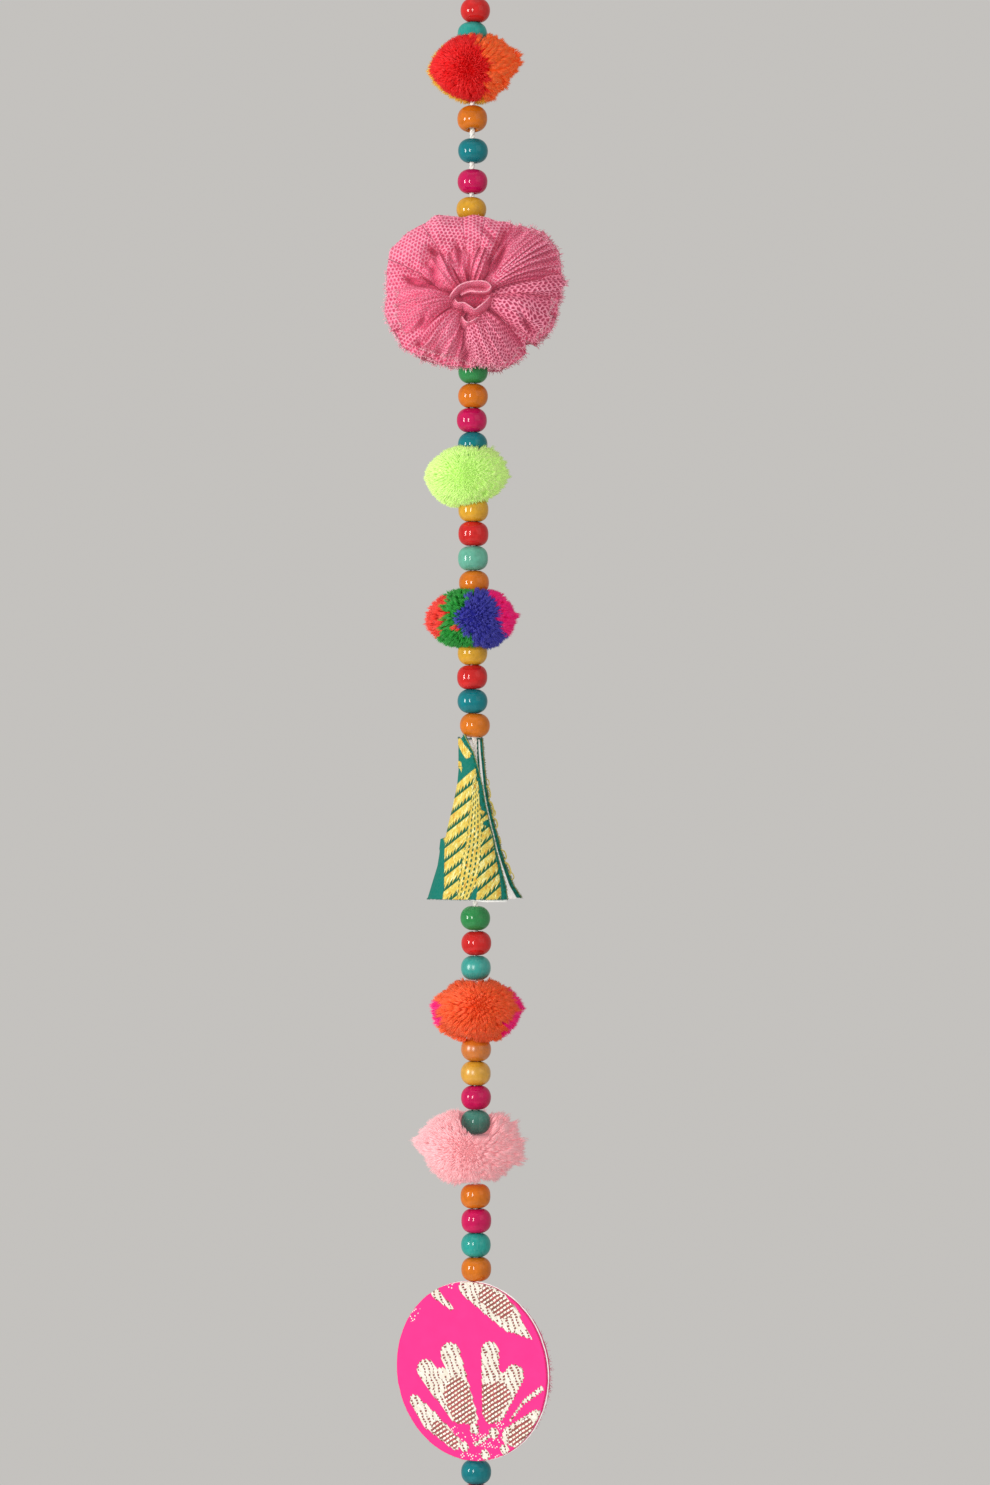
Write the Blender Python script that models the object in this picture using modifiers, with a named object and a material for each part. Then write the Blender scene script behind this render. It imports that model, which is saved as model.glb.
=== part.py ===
"""Pom-pom garland: painted wooden beads, yarn pompoms, a net pom, a brocade cone and a
brocade disc, strung on one cotton cord that hangs from a loop.

Metres, +Z up, +X to the right, +Y to the back. The origin is the top of the hanging loop.
Tables give their sizes in millimetres. A drop is the distance below the middle of bead 1.
"""

import math
import random

import bmesh
import bpy
from mathutils import Matrix, Vector

MM = 0.001
NAME = "pompom_garland"
GAP = 0.3  # between neighbouring pieces
WELD = 0.01  # points closer than this are one
FIRST_BEAD_BELOW_LOOP = 50.0  # from the loop's top to the middle of bead 1

# Beads
BEAD_RADIUS = 5.0
BEAD_HEIGHT = 7.7
BEAD_HOLE_RADIUS = 1.75
BEAD_ROUNDNESS = 0.75  # 1 is an ellipse, less is squarer
BEAD_PROFILE_DEG = (76, 45, 15, -15, -45, -76)
BEAD_STEPS = 12

# Cord, loop and knots
CORD_RADIUS = 0.9
CORD_POINTS = 48
LOOP_POINTS = 26
TAIL_POINTS = 8
KNOT_RADIUS = 2.6
KNOT_HEIGHT = 5.4
KNOT_RIDGE = 0.3
KNOT_WRAPS = 2  # ridges round the knot
KNOT_SLANT = 3.5  # how far they turn, in radians, from its middle to its end
KNOT_SEGMENTS = (12, 8)
TOP_KNOT_Z = -40.6
END_KNOT_DROP = 502.2

# Pompoms
SEAT_RADIUS = 5.45  # the hollow in which a bead sits
BORE_RADIUS = 1.4
CORE_SHARE = 0.66  # the core's size in the whole
LOCK_CUTS = 2  # each side of a cube is cut into one more than this before it is made round
LOCK_LIMIT = 0.93  # faces further up or down than this share have no lock
LOCK_TAPER = 0.72
LOCK_INSET = 0.035
LOCK_JITTER = 0.05

# Net pom
NET_DROP = 94.1
NET_X = -0.7
NET_THICKNESS = 1.0
NET_HUB = (5.2, 11.5, 5.6)  # half sizes of the gathered middle
NET_HUB_SEGMENTS = (12, 9)
NET_GATHER_RADIUS = 2.2
NET_GATHER_DOWN = 3.0  # the gather lies below the middle of the outline
NET_PLEAT_STEPS = 4  # faces across each pleat
NET_RINGS = 4
NET_BORE_LENGTH = 30.0
NET_BORE_SEGMENTS = 10

# Brocade cone
CLOTH_THICKNESS = 1.0
CONE_STEPS = 16
CONE_BACK_EDGE_DEG = 35.0  # how far behind the right side the back edge lies
CONE_FLATNESS = (0.95, 0.75)  # its depth as a share of its half width, at the top and the bottom
CONE_TIP_RISE = 1.3  # of the front corner over the top edge
CONE_TIP_STEPS = 2  # steps from the front edge over which it rises

# Brocade disc
DISC_DROP = 453.2
DISC_TURN_DEG = 33.0  # its face looks this far to the left of the viewer
DISC_STEPS = 40

# colour name: red, green, blue in linear light
COLOURS = {
    "red": (0.52, 0.03, 0.03),
    "turquoise": (0.045, 0.35, 0.30),
    "orange": (0.68, 0.20, 0.018),
    "dark_teal": (0.0, 0.19, 0.21),
    "magenta": (0.48, 0.012, 0.11),
    "yellow": (0.72, 0.43, 0.045),
    "green": (0.05, 0.26, 0.09),
    "mint": (0.16, 0.43, 0.34),
    "amber": (0.56, 0.17, 0.02),
    "grey_teal": (0.07, 0.24, 0.20),
    "net_pink": (0.75, 0.16, 0.28),
    "lime": (0.50, 0.87, 0.15),
    "scarlet": (0.58, 0.005, 0.01),
    "violet": (0.30, 0.02, 0.22),
    "flame": (0.90, 0.13, 0.03),
    "pale_pink": (0.95, 0.31, 0.33),
    "teal_cloth": (0.0, 0.20, 0.16),
    "white_cloth": (0.80, 0.79, 0.76),
    "hot_pink": (0.93, 0.045, 0.30),
    "white_card": (0.78, 0.74, 0.72),
    "cotton": (0.80, 0.77, 0.70),
}

# number, colour, drop, x, lean to the viewer in degrees, lean to the right in degrees
BEADS = (
    (1, "red", 0.0, 0.43, 0, 2),
    (2, "turquoise", 8.07, -0.53, 2, -3),
    (3, "orange", 36.13, -0.57, 6, 0),
    (4, "dark_teal", 46.80, -0.33, 0, 0),
    (5, "magenta", 57.07, -0.50, 1, 1),
    (6, "yellow", 66.33, -0.87, 2, 2),
    (7, "green", 120.30, -0.30, 0, 0),
    (8, "orange", 128.53, -0.33, 1, 1),
    (9, "magenta", 136.60, -0.73, 0, -1),
    (10, "dark_teal", 144.64, -0.43, 0, 0),
    (11, "yellow", 166.43, -0.20, 1, 1),
    (12, "red", 174.48, -0.20, 0, 0),
    (13, "mint", 182.64, -0.33, 0, -1),
    (14, "orange", 190.77, 0.0, 1, 0),
    (15, "yellow", 214.20, -0.50, 0, 1),
    (16, "red", 222.22, -0.60, 0, -1),
    (17, "dark_teal", 230.24, -0.50, 1, 0),
    (18, "orange", 238.26, 0.30, 0, 2),
    (19, "green", 302.53, 0.43, 0, 0),
    (20, "red", 310.87, 0.77, 0, -1),
    (21, "turquoise", 319.10, 0.63, 1, 0),
    (22, "amber", 346.20, 0.70, 0, 0),
    (23, "yellow", 354.25, 0.57, 0, 1),
    (24, "magenta", 362.31, 0.67, 0, 0),
    (25, "grey_teal", 370.50, 0.57, 0, -1),
    (26, "orange", 395.17, 0.50, 1, 0),
    (27, "magenta", 403.37, 0.77, 0, 0),
    (28, "turquoise", 411.43, 0.63, 0, 0),
    (29, "orange", 419.50, 0.75, 0, 0),
    (30, "dark_teal", 487.10, 0.73, 0, 0),
    (31, "red", 495.16, 0.73, 0, 0),
)

# name, colour, drop, x, width, height, lean in degrees, bead above, bead below,
# seed, which is also its turn about the cord in degrees
POMPOMS = (
    ("pompom_red_orange", "scarlet", 19.0, 0.13, 33.0, 23.7, 6, 2, 3, 11),
    ("pompom_lime", "lime", 155.4, -2.1, 30.3, 21.7, 0, 10, 11, 23),
    ("pompom_four_colours", "violet", 202.7, -0.8, 32.0, 21.0, 0, 14, 15, 37),
    ("pompom_orange", "flame", 333.5, 1.2, 32.0, 22.0, 0, 21, 22, 41),
    ("pompom_pale_pink", "pale_pink", 379.2, -1.6, 37.7, 25.3, 0, 25, 26, 59),
)

# drop, x, y of the cord, from under the top knot to above the end knot
CORD_ROUTE = (
    (-6.2, 0.1, 0.0),
    (0.0, 0.2, 0.0),
    (8.0, -0.3, 0.0),
    (36.0, -0.5, 0.0),
    (66.0, -0.7, 0.0),
    (120.0, -0.35, 0.0),
    (136.5, -0.6, 0.0),
    (170.0, -0.2, 0.0),
    (191.0, -0.1, 0.0),
    (218.0, -0.5, 0.0),
    (230.0, -0.35, 0.0),
    (240.0, 0.15, 0.0),
    (302.0, 0.5, 0.0),
    (319.0, 0.65, 0.0),
    (370.0, 0.6, 0.0),
    (395.0, 0.6, 0.0),
    (419.0, 0.75, 0.0),
    (487.0, 0.75, 0.0),
    (499.0, 0.75, 0.0),
)

# x, z of the hanging loop, from one side of the knot round to the other
LOOP_ROUTE = (
    (-1.3, -39.6),
    (-1.6, -36.0),
    (-3.9, -28.0),
    (-6.6, -17.0),
    (-6.2, -7.5),
    (-3.4, -2.2),
    (0.0, -0.9),
    (3.7, -2.4),
    (6.4, -8.0),
    (6.3, -17.5),
    (3.7, -28.0),
    (1.6, -36.0),
    (1.3, -39.6),
)

# x, drop of the tail under the end knot
TAIL_ROUTE = ((0.75, 503.0), (0.9, 507.0), (0.4, 511.0), (-0.3, 515.0))

# angle in degrees from the right, anticlockwise to the viewer, and radius of the net pom
NET_OUTLINE = (
    (0, 29.5),
    (30, 32.3),
    (60, 26.4),
    (90, 25.2),
    (120, 28.8),
    (150, 29.7),
    (180, 28.6),
    (215, 29.6),
    (240, 26.5),
    (270, 25.2),
    (295, 27.9),
    (330, 28.5),
)

# angle of each main crease of the net pom, and its depth as a share of its layer's pleat depth
NET_CREASES = (
    (22, 0.8),
    (59, 1.3),
    (98, 0.8),
    (128, 1.1),
    (160, 1.0),
    (208, 1.1),
    (238, 0.7),
    (263, 1.1),
    (311, 1.2),
    (342, 0.8),
)

# layer of net, y at the hub, y half way out, y at the rim, share of the outline, pleat depth,
# turn of its creases in degrees
NET_LAYERS = (
    ("front", -8.5, -20.0, -9.0, 1.0, 1.8, 0),
    ("inner_front", -4.0, -11.0, -4.0, 0.84, 1.1, 3),
    ("inner_back", 4.2, 11.2, 4.1, 0.83, 1.1, 14),
    ("back", 8.7, 19.5, 9.2, 0.98, 1.8, 10),
)

# drop, x of the left side, x of the front edge, x of the back edge of the cone
CONE_SECTIONS = (
    (242.6, -5.15, -3.2, 3.0),
    (247.0, -5.2, -0.1, 3.3),
    (253.0, -5.15, 1.7, 3.9),
    (259.0, -5.7, 3.07, 4.5),
    (265.0, -6.9, 4.1, 5.6),
    (271.4, -8.5, 5.6, 7.1),
    (275.3, -9.3, 6.6, 8.2),
    (279.5, -11.3, 7.5, 9.2),
    (285.2, -12.2, 9.1, 11.0),
    (291.7, -14.2, 10.8, 13.4),
    (296.0, -15.5, 11.3, 16.2),
)

# name, colour, nearer face and further face along the disc's axis, radius
DISC_LAYERS = (
    ("disc_front_cloth", "hot_pink", 2.5, 3.5, 29.7),
    ("disc_card", "white_card", 1.2, 2.2, 29.5),
    ("disc_back_cloth", "hot_pink", -2.2, -1.2, 27.8),
)


def clear_scene():
    for old in list(bpy.data.objects):
        bpy.data.objects.remove(old, do_unlink=True)


def new_collection(name):
    collection = bpy.data.collections.new(name)
    bpy.context.scene.collection.children.link(collection)
    return collection


def height(drop):
    """The z, in millimetres, of a drop below the middle of bead 1."""
    return -FIRST_BEAD_BELOW_LOOP - drop


def material(name, colour, roughness):
    made = bpy.data.materials.get(name)
    if made is None:
        made = bpy.data.materials.new(name)
        made.use_nodes = True
        shader = made.node_tree.nodes["Principled BSDF"]
        shader.inputs["Base Color"].default_value = (*COLOURS[colour], 1)
        shader.inputs["Roughness"].default_value = roughness
        shader.inputs["Metallic"].default_value = 0
    return made


def add_object(name, data, collection, finish=None, smooth_deg=None):
    """Link new data as an object; smooth_deg is the angle up to which it is shaded smooth."""
    obj = bpy.data.objects.new(name, data)
    collection.objects.link(obj)
    if finish:
        data.materials.append(finish)
    if smooth_deg:
        data.shade_smooth()
        data.set_sharp_from_angle(angle=math.radians(smooth_deg))
    return obj


def mesh_from(bm, name):
    mesh = bpy.data.meshes.new(name)
    bm.to_mesh(mesh)
    bm.free()
    return mesh


def as_cutter(obj):
    obj.hide_render = True
    obj.display_type = "WIRE"
    return obj


def evaluated_mesh(obj, weld=False):
    """The object's mesh with its modifiers, or its curve's tube with the caps welded."""
    bpy.context.view_layer.update()
    seen = obj.evaluated_get(bpy.context.evaluated_depsgraph_get())
    mesh = bpy.data.meshes.new_from_object(seen)
    if weld:
        bm = bmesh.new()
        bm.from_mesh(mesh)
        bmesh.ops.remove_doubles(bm, verts=bm.verts, dist=WELD * MM)
        bm.to_mesh(mesh)
        bm.free()
    return mesh


def keep_largest_island(mesh):
    """Drop the crumbs that a cut leaves loose."""
    bm = bmesh.new()
    bm.from_mesh(mesh)
    left, islands = set(bm.verts), []
    while left:
        island, edge = set(), [left.pop()]
        while edge:
            vert = edge.pop()
            island.add(vert)
            for link in vert.link_edges:
                other = link.other_vert(vert)
                if other in left:
                    left.remove(other)
                    edge.append(other)
        islands.append(island)
    islands.sort(key=len)
    crumbs = [v for island in islands[:-1] for v in island]
    bmesh.ops.delete(bm, geom=crumbs, context="VERTS")
    bm.to_mesh(mesh)
    bm.free()


def boolean(obj, other, operation):
    change = obj.modifiers.new(operation.title(), "BOOLEAN")
    change.operation = operation
    change.solver = "EXACT"
    change.use_self = True
    change.object = other


def smooth_route(points, count):
    """A Catmull-Rom curve through the points, read at even steps of its parameter."""
    route = [Vector(p) for p in points]
    ends = [2 * route[0] - route[1], *route, 2 * route[-1] - route[-2]]
    read = []
    for step in range(count):
        at = step / (count - 1) * (len(route) - 1)
        k = min(int(at), len(route) - 2)
        t = at - k
        a, b, c, d = ends[k : k + 4]
        second, third = 2 * a - 5 * b + 4 * c - d, 3 * b - a - 3 * c + d
        read.append(0.5 * (2 * b + (c - a) * t + second * t**2 + third * t**3))
    return read


def tube(name, points, collection, finish):
    """A cord along the points, which are in millimetres."""
    curve = bpy.data.curves.new(name, "CURVE")
    curve.dimensions = "3D"
    curve.bevel_depth = CORD_RADIUS * MM
    curve.bevel_resolution = 2
    curve.use_fill_caps = True
    spline = curve.splines.new("POLY")
    spline.points.add(len(points) - 1)
    for place, point in zip(spline.points, points):
        place.co = (*(point * MM), 1)
    return add_object(name, curve, collection, finish)


def turned(name, profile, steps, collection, closed):
    """A profile of (radius, z) in millimetres, top to bottom, turned about the Z axis."""
    bm = bmesh.new()
    verts = [bm.verts.new((r * MM, 0, z * MM)) for r, z in profile]
    for a, b in zip(verts, verts[1:]):
        bm.edges.new((a, b))
    if closed:
        bm.edges.new((verts[-1], verts[0]))
    obj = add_object(name, mesh_from(bm, name), collection)
    screw = obj.modifiers.new("Turn", "SCREW")
    screw.steps = screw.render_steps = steps
    screw.use_merge_vertices = True
    screw.merge_threshold = WELD * MM
    screw.use_smooth_shade = True
    return obj


def bead_profile():
    """Outer side of a bead, top to bottom; the closing edge is the wall of its hole."""
    widest = math.cos(math.radians(BEAD_PROFILE_DEG[2])) ** BEAD_ROUNDNESS
    points = []
    for deg in BEAD_PROFILE_DEG:
        out = math.cos(math.radians(deg)) ** BEAD_ROUNDNESS
        up = abs(math.sin(math.radians(deg))) ** BEAD_ROUNDNESS
        radius = max(BEAD_RADIUS * out / widest, BEAD_HOLE_RADIUS)
        points.append((radius, math.copysign(up * BEAD_HEIGHT / 2, deg)))
    return points


def make_beads(parts):
    shape = bead_profile()
    for number, colour, drop, x, lean_front, lean_right in BEADS:
        name = f"bead_{number:02d}_{colour}"
        bead = turned(name, shape, BEAD_STEPS, parts, closed=True)
        bead.data.materials.append(material(f"paint_{colour}", colour, 0.25))
        bead.location = (x * MM, 0, height(drop) * MM)
        bead.rotation_euler = (math.radians(-lean_front), math.radians(lean_right), 0)


def make_cord(parts):
    route = [(x, y, height(drop)) for drop, x, y in CORD_ROUTE]
    cotton = material("cotton", "cotton", 0.85)
    tube("stringing_cord", smooth_route(route, CORD_POINTS), parts, cotton)


def knot_mesh(name, centre):
    """A tight overhand knot: a small ball with slanting ridges where the cord wraps it."""
    bm = bmesh.new()
    around, down = KNOT_SEGMENTS
    bmesh.ops.create_uvsphere(bm, u_segments=around, v_segments=down, radius=1)
    for vert in bm.verts:
        turn = math.atan2(vert.co.y, vert.co.x)
        flat = math.hypot(vert.co.x, vert.co.y)
        ridge = KNOT_RIDGE * flat * math.sin(KNOT_WRAPS * turn + KNOT_SLANT * vert.co.z)
        side = KNOT_RADIUS + ridge
        vert.co = Vector((vert.co.x * side, vert.co.y * side, vert.co.z * KNOT_HEIGHT / 2))
        vert.co = (vert.co + centre) * MM
    return mesh_from(bm, name)


def knotted(name, route, count, knot_at, parts, cutters):
    """A stretch of cord joined to its knot."""
    cotton = material("cotton", "cotton", 0.85)
    guide = tube(f"{name}_guide", smooth_route(route, count), cutters, None)
    strand = as_cutter(add_object(f"{name}_strand", evaluated_mesh(guide, weld=True), cutters))
    bpy.data.objects.remove(guide, do_unlink=True)
    body = add_object(name, knot_mesh(name, knot_at), parts, cotton, smooth_deg=60)
    boolean(body, strand, "UNION")


def make_loop_and_knots(parts, cutters):
    loop = [(x, 0, z) for x, z in LOOP_ROUTE]
    knotted("hanging_loop", loop, LOOP_POINTS, Vector((0.1, 0, TOP_KNOT_Z)), parts, cutters)
    tail = [(x, 0, height(drop)) for x, drop in TAIL_ROUTE]
    end = Vector((CORD_ROUTE[-1][1], 0, height(END_KNOT_DROP)))
    knotted("end_knot", tail, TAIL_POINTS, end, parts, cutters)


def pompom_mesh(name, width, tall, lean, seed):
    """A round core with a lock of yarn on each of its faces but the two at the poles."""
    rng = random.Random(seed)
    bm = bmesh.new()
    bmesh.ops.create_cube(bm, size=2)
    bmesh.ops.subdivide_edges(bm, edges=bm.edges[:], cuts=LOCK_CUTS, use_grid_fill=True)
    for vert in bm.verts:
        vert.co.normalize()
    locks = [f for f in bm.faces if abs(f.calc_center_median().z) < LOCK_LIMIT]
    bmesh.ops.inset_individual(bm, faces=locks, thickness=LOCK_INSET)
    for tip in bmesh.ops.extrude_discrete_faces(bm, faces=locks)["faces"]:
        root = tip.calc_center_median()
        reach = (1 + rng.uniform(-LOCK_JITTER, LOCK_JITTER)) / CORE_SHARE
        sway = Vector([rng.uniform(-LOCK_JITTER, LOCK_JITTER) for _ in range(3)])
        end = root.normalized() * reach + sway
        for vert in tip.verts:
            vert.co = end + (vert.co - root) * LOCK_TAPER * reach
    half = CORE_SHARE * MM / 2
    squash = Matrix.Diagonal((width * half, width * half, tall * half, 1))
    turn = Matrix.Rotation(math.radians(seed), 4, "Z")
    bm.transform(Matrix.Rotation(math.radians(-lean), 4, "Y") @ squash @ turn)
    bmesh.ops.recalc_face_normals(bm, faces=bm.faces[:])
    return mesh_from(bm, name)


def make_pompoms(parts, cutters):
    drops = {row[0]: row[2] for row in BEADS}
    for name, colour, drop, x, width, tall, lean, above, below, seed in POMPOMS:
        yarn = material(f"yarn_{colour}", colour, 0.95)
        mesh = pompom_mesh(name, width, tall, lean, seed)
        body = add_object(name, mesh, parts, yarn)
        body.location = (x * MM, 0, height(drop) * MM)
        reach = BEAD_HEIGHT / 2 + GAP
        upper, lower = height(drops[above]) - reach, height(drops[below]) + reach
        far = tall  # beyond the pompom's top and bottom
        spool = (
            (0, height(drop) + far),
            (SEAT_RADIUS, height(drop) + far),
            (SEAT_RADIUS, upper),
            (BORE_RADIUS, upper),
            (BORE_RADIUS, lower),
            (SEAT_RADIUS, lower),
            (SEAT_RADIUS, height(drop) - far),
            (0, height(drop) - far),
        )
        cutter = as_cutter(turned(f"{name}_seats", spool, BEAD_STEPS, cutters, closed=False))
        cutter.location.x = 0.5 * (cord_x(drops[above]) + cord_x(drops[below])) * MM
        boolean(body, cutter, "DIFFERENCE")
        cut = evaluated_mesh(body)
        body.modifiers.clear()
        keep_largest_island(cut)
        body.data = cut


def cord_x(drop):
    """The cord's x at a drop, straight between the rows of its route."""
    for (d0, x0, _), (d1, x1, _) in zip(CORD_ROUTE, CORD_ROUTE[1:]):
        if drop <= d1:
            return x0 + (x1 - x0) * (drop - d0) / (d1 - d0)
    return CORD_ROUTE[-1][1]


def net_radius(angle):
    """The net pom's outline at an angle in radians, eased between the rows of its table."""
    deg = math.degrees(angle) % 360
    rows = [*NET_OUTLINE, (NET_OUTLINE[0][0] + 360, NET_OUTLINE[0][1])]
    for (a0, r0), (a1, r1) in zip(rows, rows[1:]):
        if deg <= a1:
            t = (deg - a0) / (a1 - a0)
            return r0 + (r1 - r0) * t * t * (3 - 2 * t)
    return rows[-1][1]


def net_folds(turn_deg):
    """Angles round a layer, and how far the net stands out there: -1 in a crease, 1 between."""
    folds = []
    following = (*NET_CREASES[1:], (NET_CREASES[0][0] + 360, 0))
    for (deg, depth), (after, _) in zip(NET_CREASES, following):
        for step in range(NET_PLEAT_STEPS):
            part = step / NET_PLEAT_STEPS
            angle = math.radians(turn_deg + deg + (after - deg) * part)
            folds.append((angle, depth * (2 * math.sin(math.pi * part) - 1)))
    return folds


def net_layer_mesh(name, y_hub, y_mid, y_rim, share, pleat, turn_deg):
    """One gathered layer: a ring of net, cupped and pleated more towards its rim."""
    bm = bmesh.new()
    side = math.copysign(1, y_mid)
    rings = []
    for ring in range(NET_RINGS + 1):
        out = ring / NET_RINGS
        cup = (1 - out) ** 2 * y_hub + 2 * out * (1 - out) * y_mid + out**2 * y_rim
        row = []
        for angle, fold in net_folds(turn_deg):
            radius = NET_GATHER_RADIUS + (share * net_radius(angle) - NET_GATHER_RADIUS) * out
            drop = NET_GATHER_DOWN * (1 - out)
            y = cup + side * pleat * fold * out
            x, z = radius * math.cos(angle), radius * math.sin(angle) - drop
            row.append(bm.verts.new(Vector((x, y, z)) * MM))
        rings.append(row)
    for inner, outer in zip(rings, rings[1:]):
        for step in range(len(inner)):
            after = (step + 1) % len(inner)
            bm.faces.new((inner[step], outer[step], outer[after], inner[after]))
    return mesh_from(bm, name)


def make_net_pom(parts, cutters):
    pink = material("net", "net_pink", 0.8)
    bm = bmesh.new()
    around, down = NET_HUB_SEGMENTS
    bmesh.ops.create_uvsphere(bm, u_segments=around, v_segments=down, radius=MM)
    bmesh.ops.scale(bm, verts=bm.verts, vec=NET_HUB)
    bmesh.ops.translate(bm, verts=bm.verts, vec=(0, 0, -NET_GATHER_DOWN * MM))
    pom = add_object("net_pom", mesh_from(bm, "net_pom"), parts, pink)
    place = Vector((NET_X, 0, height(NET_DROP))) * MM
    pom.location = place
    for name, *sizes in NET_LAYERS:
        mesh = net_layer_mesh(f"net_{name}", *sizes)
        layer = as_cutter(add_object(f"net_{name}", mesh, cutters))
        layer.location = place
        thicken = layer.modifiers.new("Thickness", "SOLIDIFY")
        thicken.thickness = NET_THICKNESS * MM
        thicken.offset = 0
        boolean(pom, layer, "UNION")
    bm = bmesh.new()
    bmesh.ops.create_cone(
        bm,
        cap_ends=True,
        segments=NET_BORE_SEGMENTS,
        radius1=BORE_RADIUS * MM,
        radius2=BORE_RADIUS * MM,
        depth=NET_BORE_LENGTH * MM,
    )
    bore = as_cutter(add_object("net_bore", mesh_from(bm, "net_bore"), cutters))
    bore.location = (cord_x(NET_DROP) * MM, 0, place.z)
    boolean(pom, bore, "DIFFERENCE")


def cone_mesh(name, inset, tip_rise):
    """An open sheet round the cord, lofted through the sections, inset from the outer face."""
    bm = bmesh.new()
    rows = []
    back = math.radians(CONE_BACK_EDGE_DEG)
    at_top, at_bottom = CONE_FLATNESS
    for index, (drop, left, front_edge, back_edge) in enumerate(CONE_SECTIONS):
        half = (back_edge - left) / (1 + math.cos(back))
        middle = left + half
        deep = half * (at_top + (at_bottom - at_top) * index / (len(CONE_SECTIONS) - 1))
        start = -math.acos(max(-1, (front_edge - middle) / half))
        end = back - 2 * math.pi
        row = []
        for step in range(CONE_STEPS + 1):
            angle = start + (end - start) * step / CONE_STEPS
            out = Vector((math.cos(angle) / half, math.sin(angle) / deep, 0)).normalized()
            at = Vector((middle + half * math.cos(angle), deep * math.sin(angle), height(drop)))
            if index == 0:
                at.z += tip_rise * max(0, 1 - step / CONE_TIP_STEPS)
            row.append(bm.verts.new((at - inset * out) * MM))
        rows.append(row)
    for upper, lower in zip(rows, rows[1:]):
        for step in range(CONE_STEPS):
            bm.faces.new((upper[step], upper[step + 1], lower[step + 1], lower[step]))
    return mesh_from(bm, name)


def make_cone(parts):
    layers = (
        ("cone_cloth", "teal_cloth", CLOTH_THICKNESS / 2, CONE_TIP_RISE),
        ("cone_lining", "white_cloth", 1.5 * CLOTH_THICKNESS + GAP, 0),
    )
    for name, colour, inset, tip_rise in layers:
        mesh = cone_mesh(name, inset, tip_rise)
        cloth = add_object(name, mesh, parts, material(name, colour, 0.7), 40)
        thicken = cloth.modifiers.new("Thickness", "SOLIDIFY")
        thicken.thickness = CLOTH_THICKNESS * MM
        thicken.offset = 0


def make_disc(parts):
    turn = math.radians(DISC_TURN_DEG)
    axis = Vector((-math.sin(turn), -math.cos(turn), 0))
    centre = Vector((cord_x(DISC_DROP), 0, height(DISC_DROP)))
    for name, colour, near, far, radius in DISC_LAYERS:
        bm = bmesh.new()
        bmesh.ops.create_cone(
            bm,
            cap_ends=True,
            segments=DISC_STEPS,
            radius1=radius * MM,
            radius2=radius * MM,
            depth=abs(far - near) * MM,
        )
        disc = add_object(name, mesh_from(bm, name), parts, material(name, colour, 0.5), 30)
        disc.location = (centre + axis * (near + far) / 2) * MM
        disc.rotation_euler = (math.pi / 2, 0, -turn)


def main():
    clear_scene()
    parts = new_collection(NAME)
    cutters = new_collection("cutters")
    make_beads(parts)
    make_cord(parts)
    make_loop_and_knots(parts, cutters)
    make_pompoms(parts, cutters)
    make_net_pom(parts, cutters)
    make_cone(parts)
    make_disc(parts)


if __name__ == "__main__":
    main()
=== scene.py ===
"""Pom-pom garland dressed for its photograph: camera, light, cord, beads, pompoms, net pom,
brocade cone and brocade disc. Metres in the scene; tables and mesh points are in millimetres."""

import math
from functools import partialmethod

import bpy
import numpy as np
from mathutils import Matrix


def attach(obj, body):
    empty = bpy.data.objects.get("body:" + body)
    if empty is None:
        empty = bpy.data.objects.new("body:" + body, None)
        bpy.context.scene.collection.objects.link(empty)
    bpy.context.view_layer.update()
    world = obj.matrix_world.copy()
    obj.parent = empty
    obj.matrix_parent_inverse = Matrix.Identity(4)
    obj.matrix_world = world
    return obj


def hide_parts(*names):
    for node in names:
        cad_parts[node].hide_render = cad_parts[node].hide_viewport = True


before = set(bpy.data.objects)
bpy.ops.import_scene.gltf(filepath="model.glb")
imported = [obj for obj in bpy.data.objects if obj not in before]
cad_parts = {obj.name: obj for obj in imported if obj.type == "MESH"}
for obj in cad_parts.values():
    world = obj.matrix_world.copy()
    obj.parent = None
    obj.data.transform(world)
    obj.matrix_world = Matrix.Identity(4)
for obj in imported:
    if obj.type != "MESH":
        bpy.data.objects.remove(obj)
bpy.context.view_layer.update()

MM = 0.001
GOLDEN = math.pi * (3 - math.sqrt(5))
FIRST_BEAD_BELOW_LOOP = 50.0

# The camera stands level, straight in front; the frame is 330 by 495 mm at the garland
CAMERA_AT = (0.007, -1.5, -0.294)
SENSOR_HEIGHT = 36.0
FRAME_HEIGHT = 0.495
FLOOR_Z = -1.2
FLOOR_RADIUS = 3.5
FLOOR_STEPS = 96
FLOOR_COLOURS = ((0.78, 0.77, 0.75), (0.84, 0.83, 0.81))

# name, place, width, height, watts, colour of each light; all look at the garland's middle
LIGHTS = (
    ("window_left", (-1.35, -0.75, -0.18), 0.26, 0.60, 13.0, (1.0, 0.98, 0.95)),
    ("window_front", (-0.62, -1.45, -0.20), 0.22, 0.60, 9.0, (1.0, 0.98, 0.95)),
    ("room_right", (1.6, -1.6, 0.5), 1.6, 1.6, 4.5, (1.0, 0.93, 0.86)),
    ("room_top", (-0.2, -0.4, 1.5), 1.6, 1.6, 4.0, (1.0, 0.97, 0.93)),
)
LIGHTS_LOOK_AT = (0.0, 0.0, -0.29)
SKY = (0.92, 0.895, 0.86)
SKY_STRENGTH = 0.60

# Cord
CORD_DIAMETER = 1.8
STRANDS = 3
STRAND_SWELL = 1.06  # the strands press into each other a little
STRAND_PITCH = 5.0
CORD_STEP = 0.55
CURVE_STEPS = 24
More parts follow.
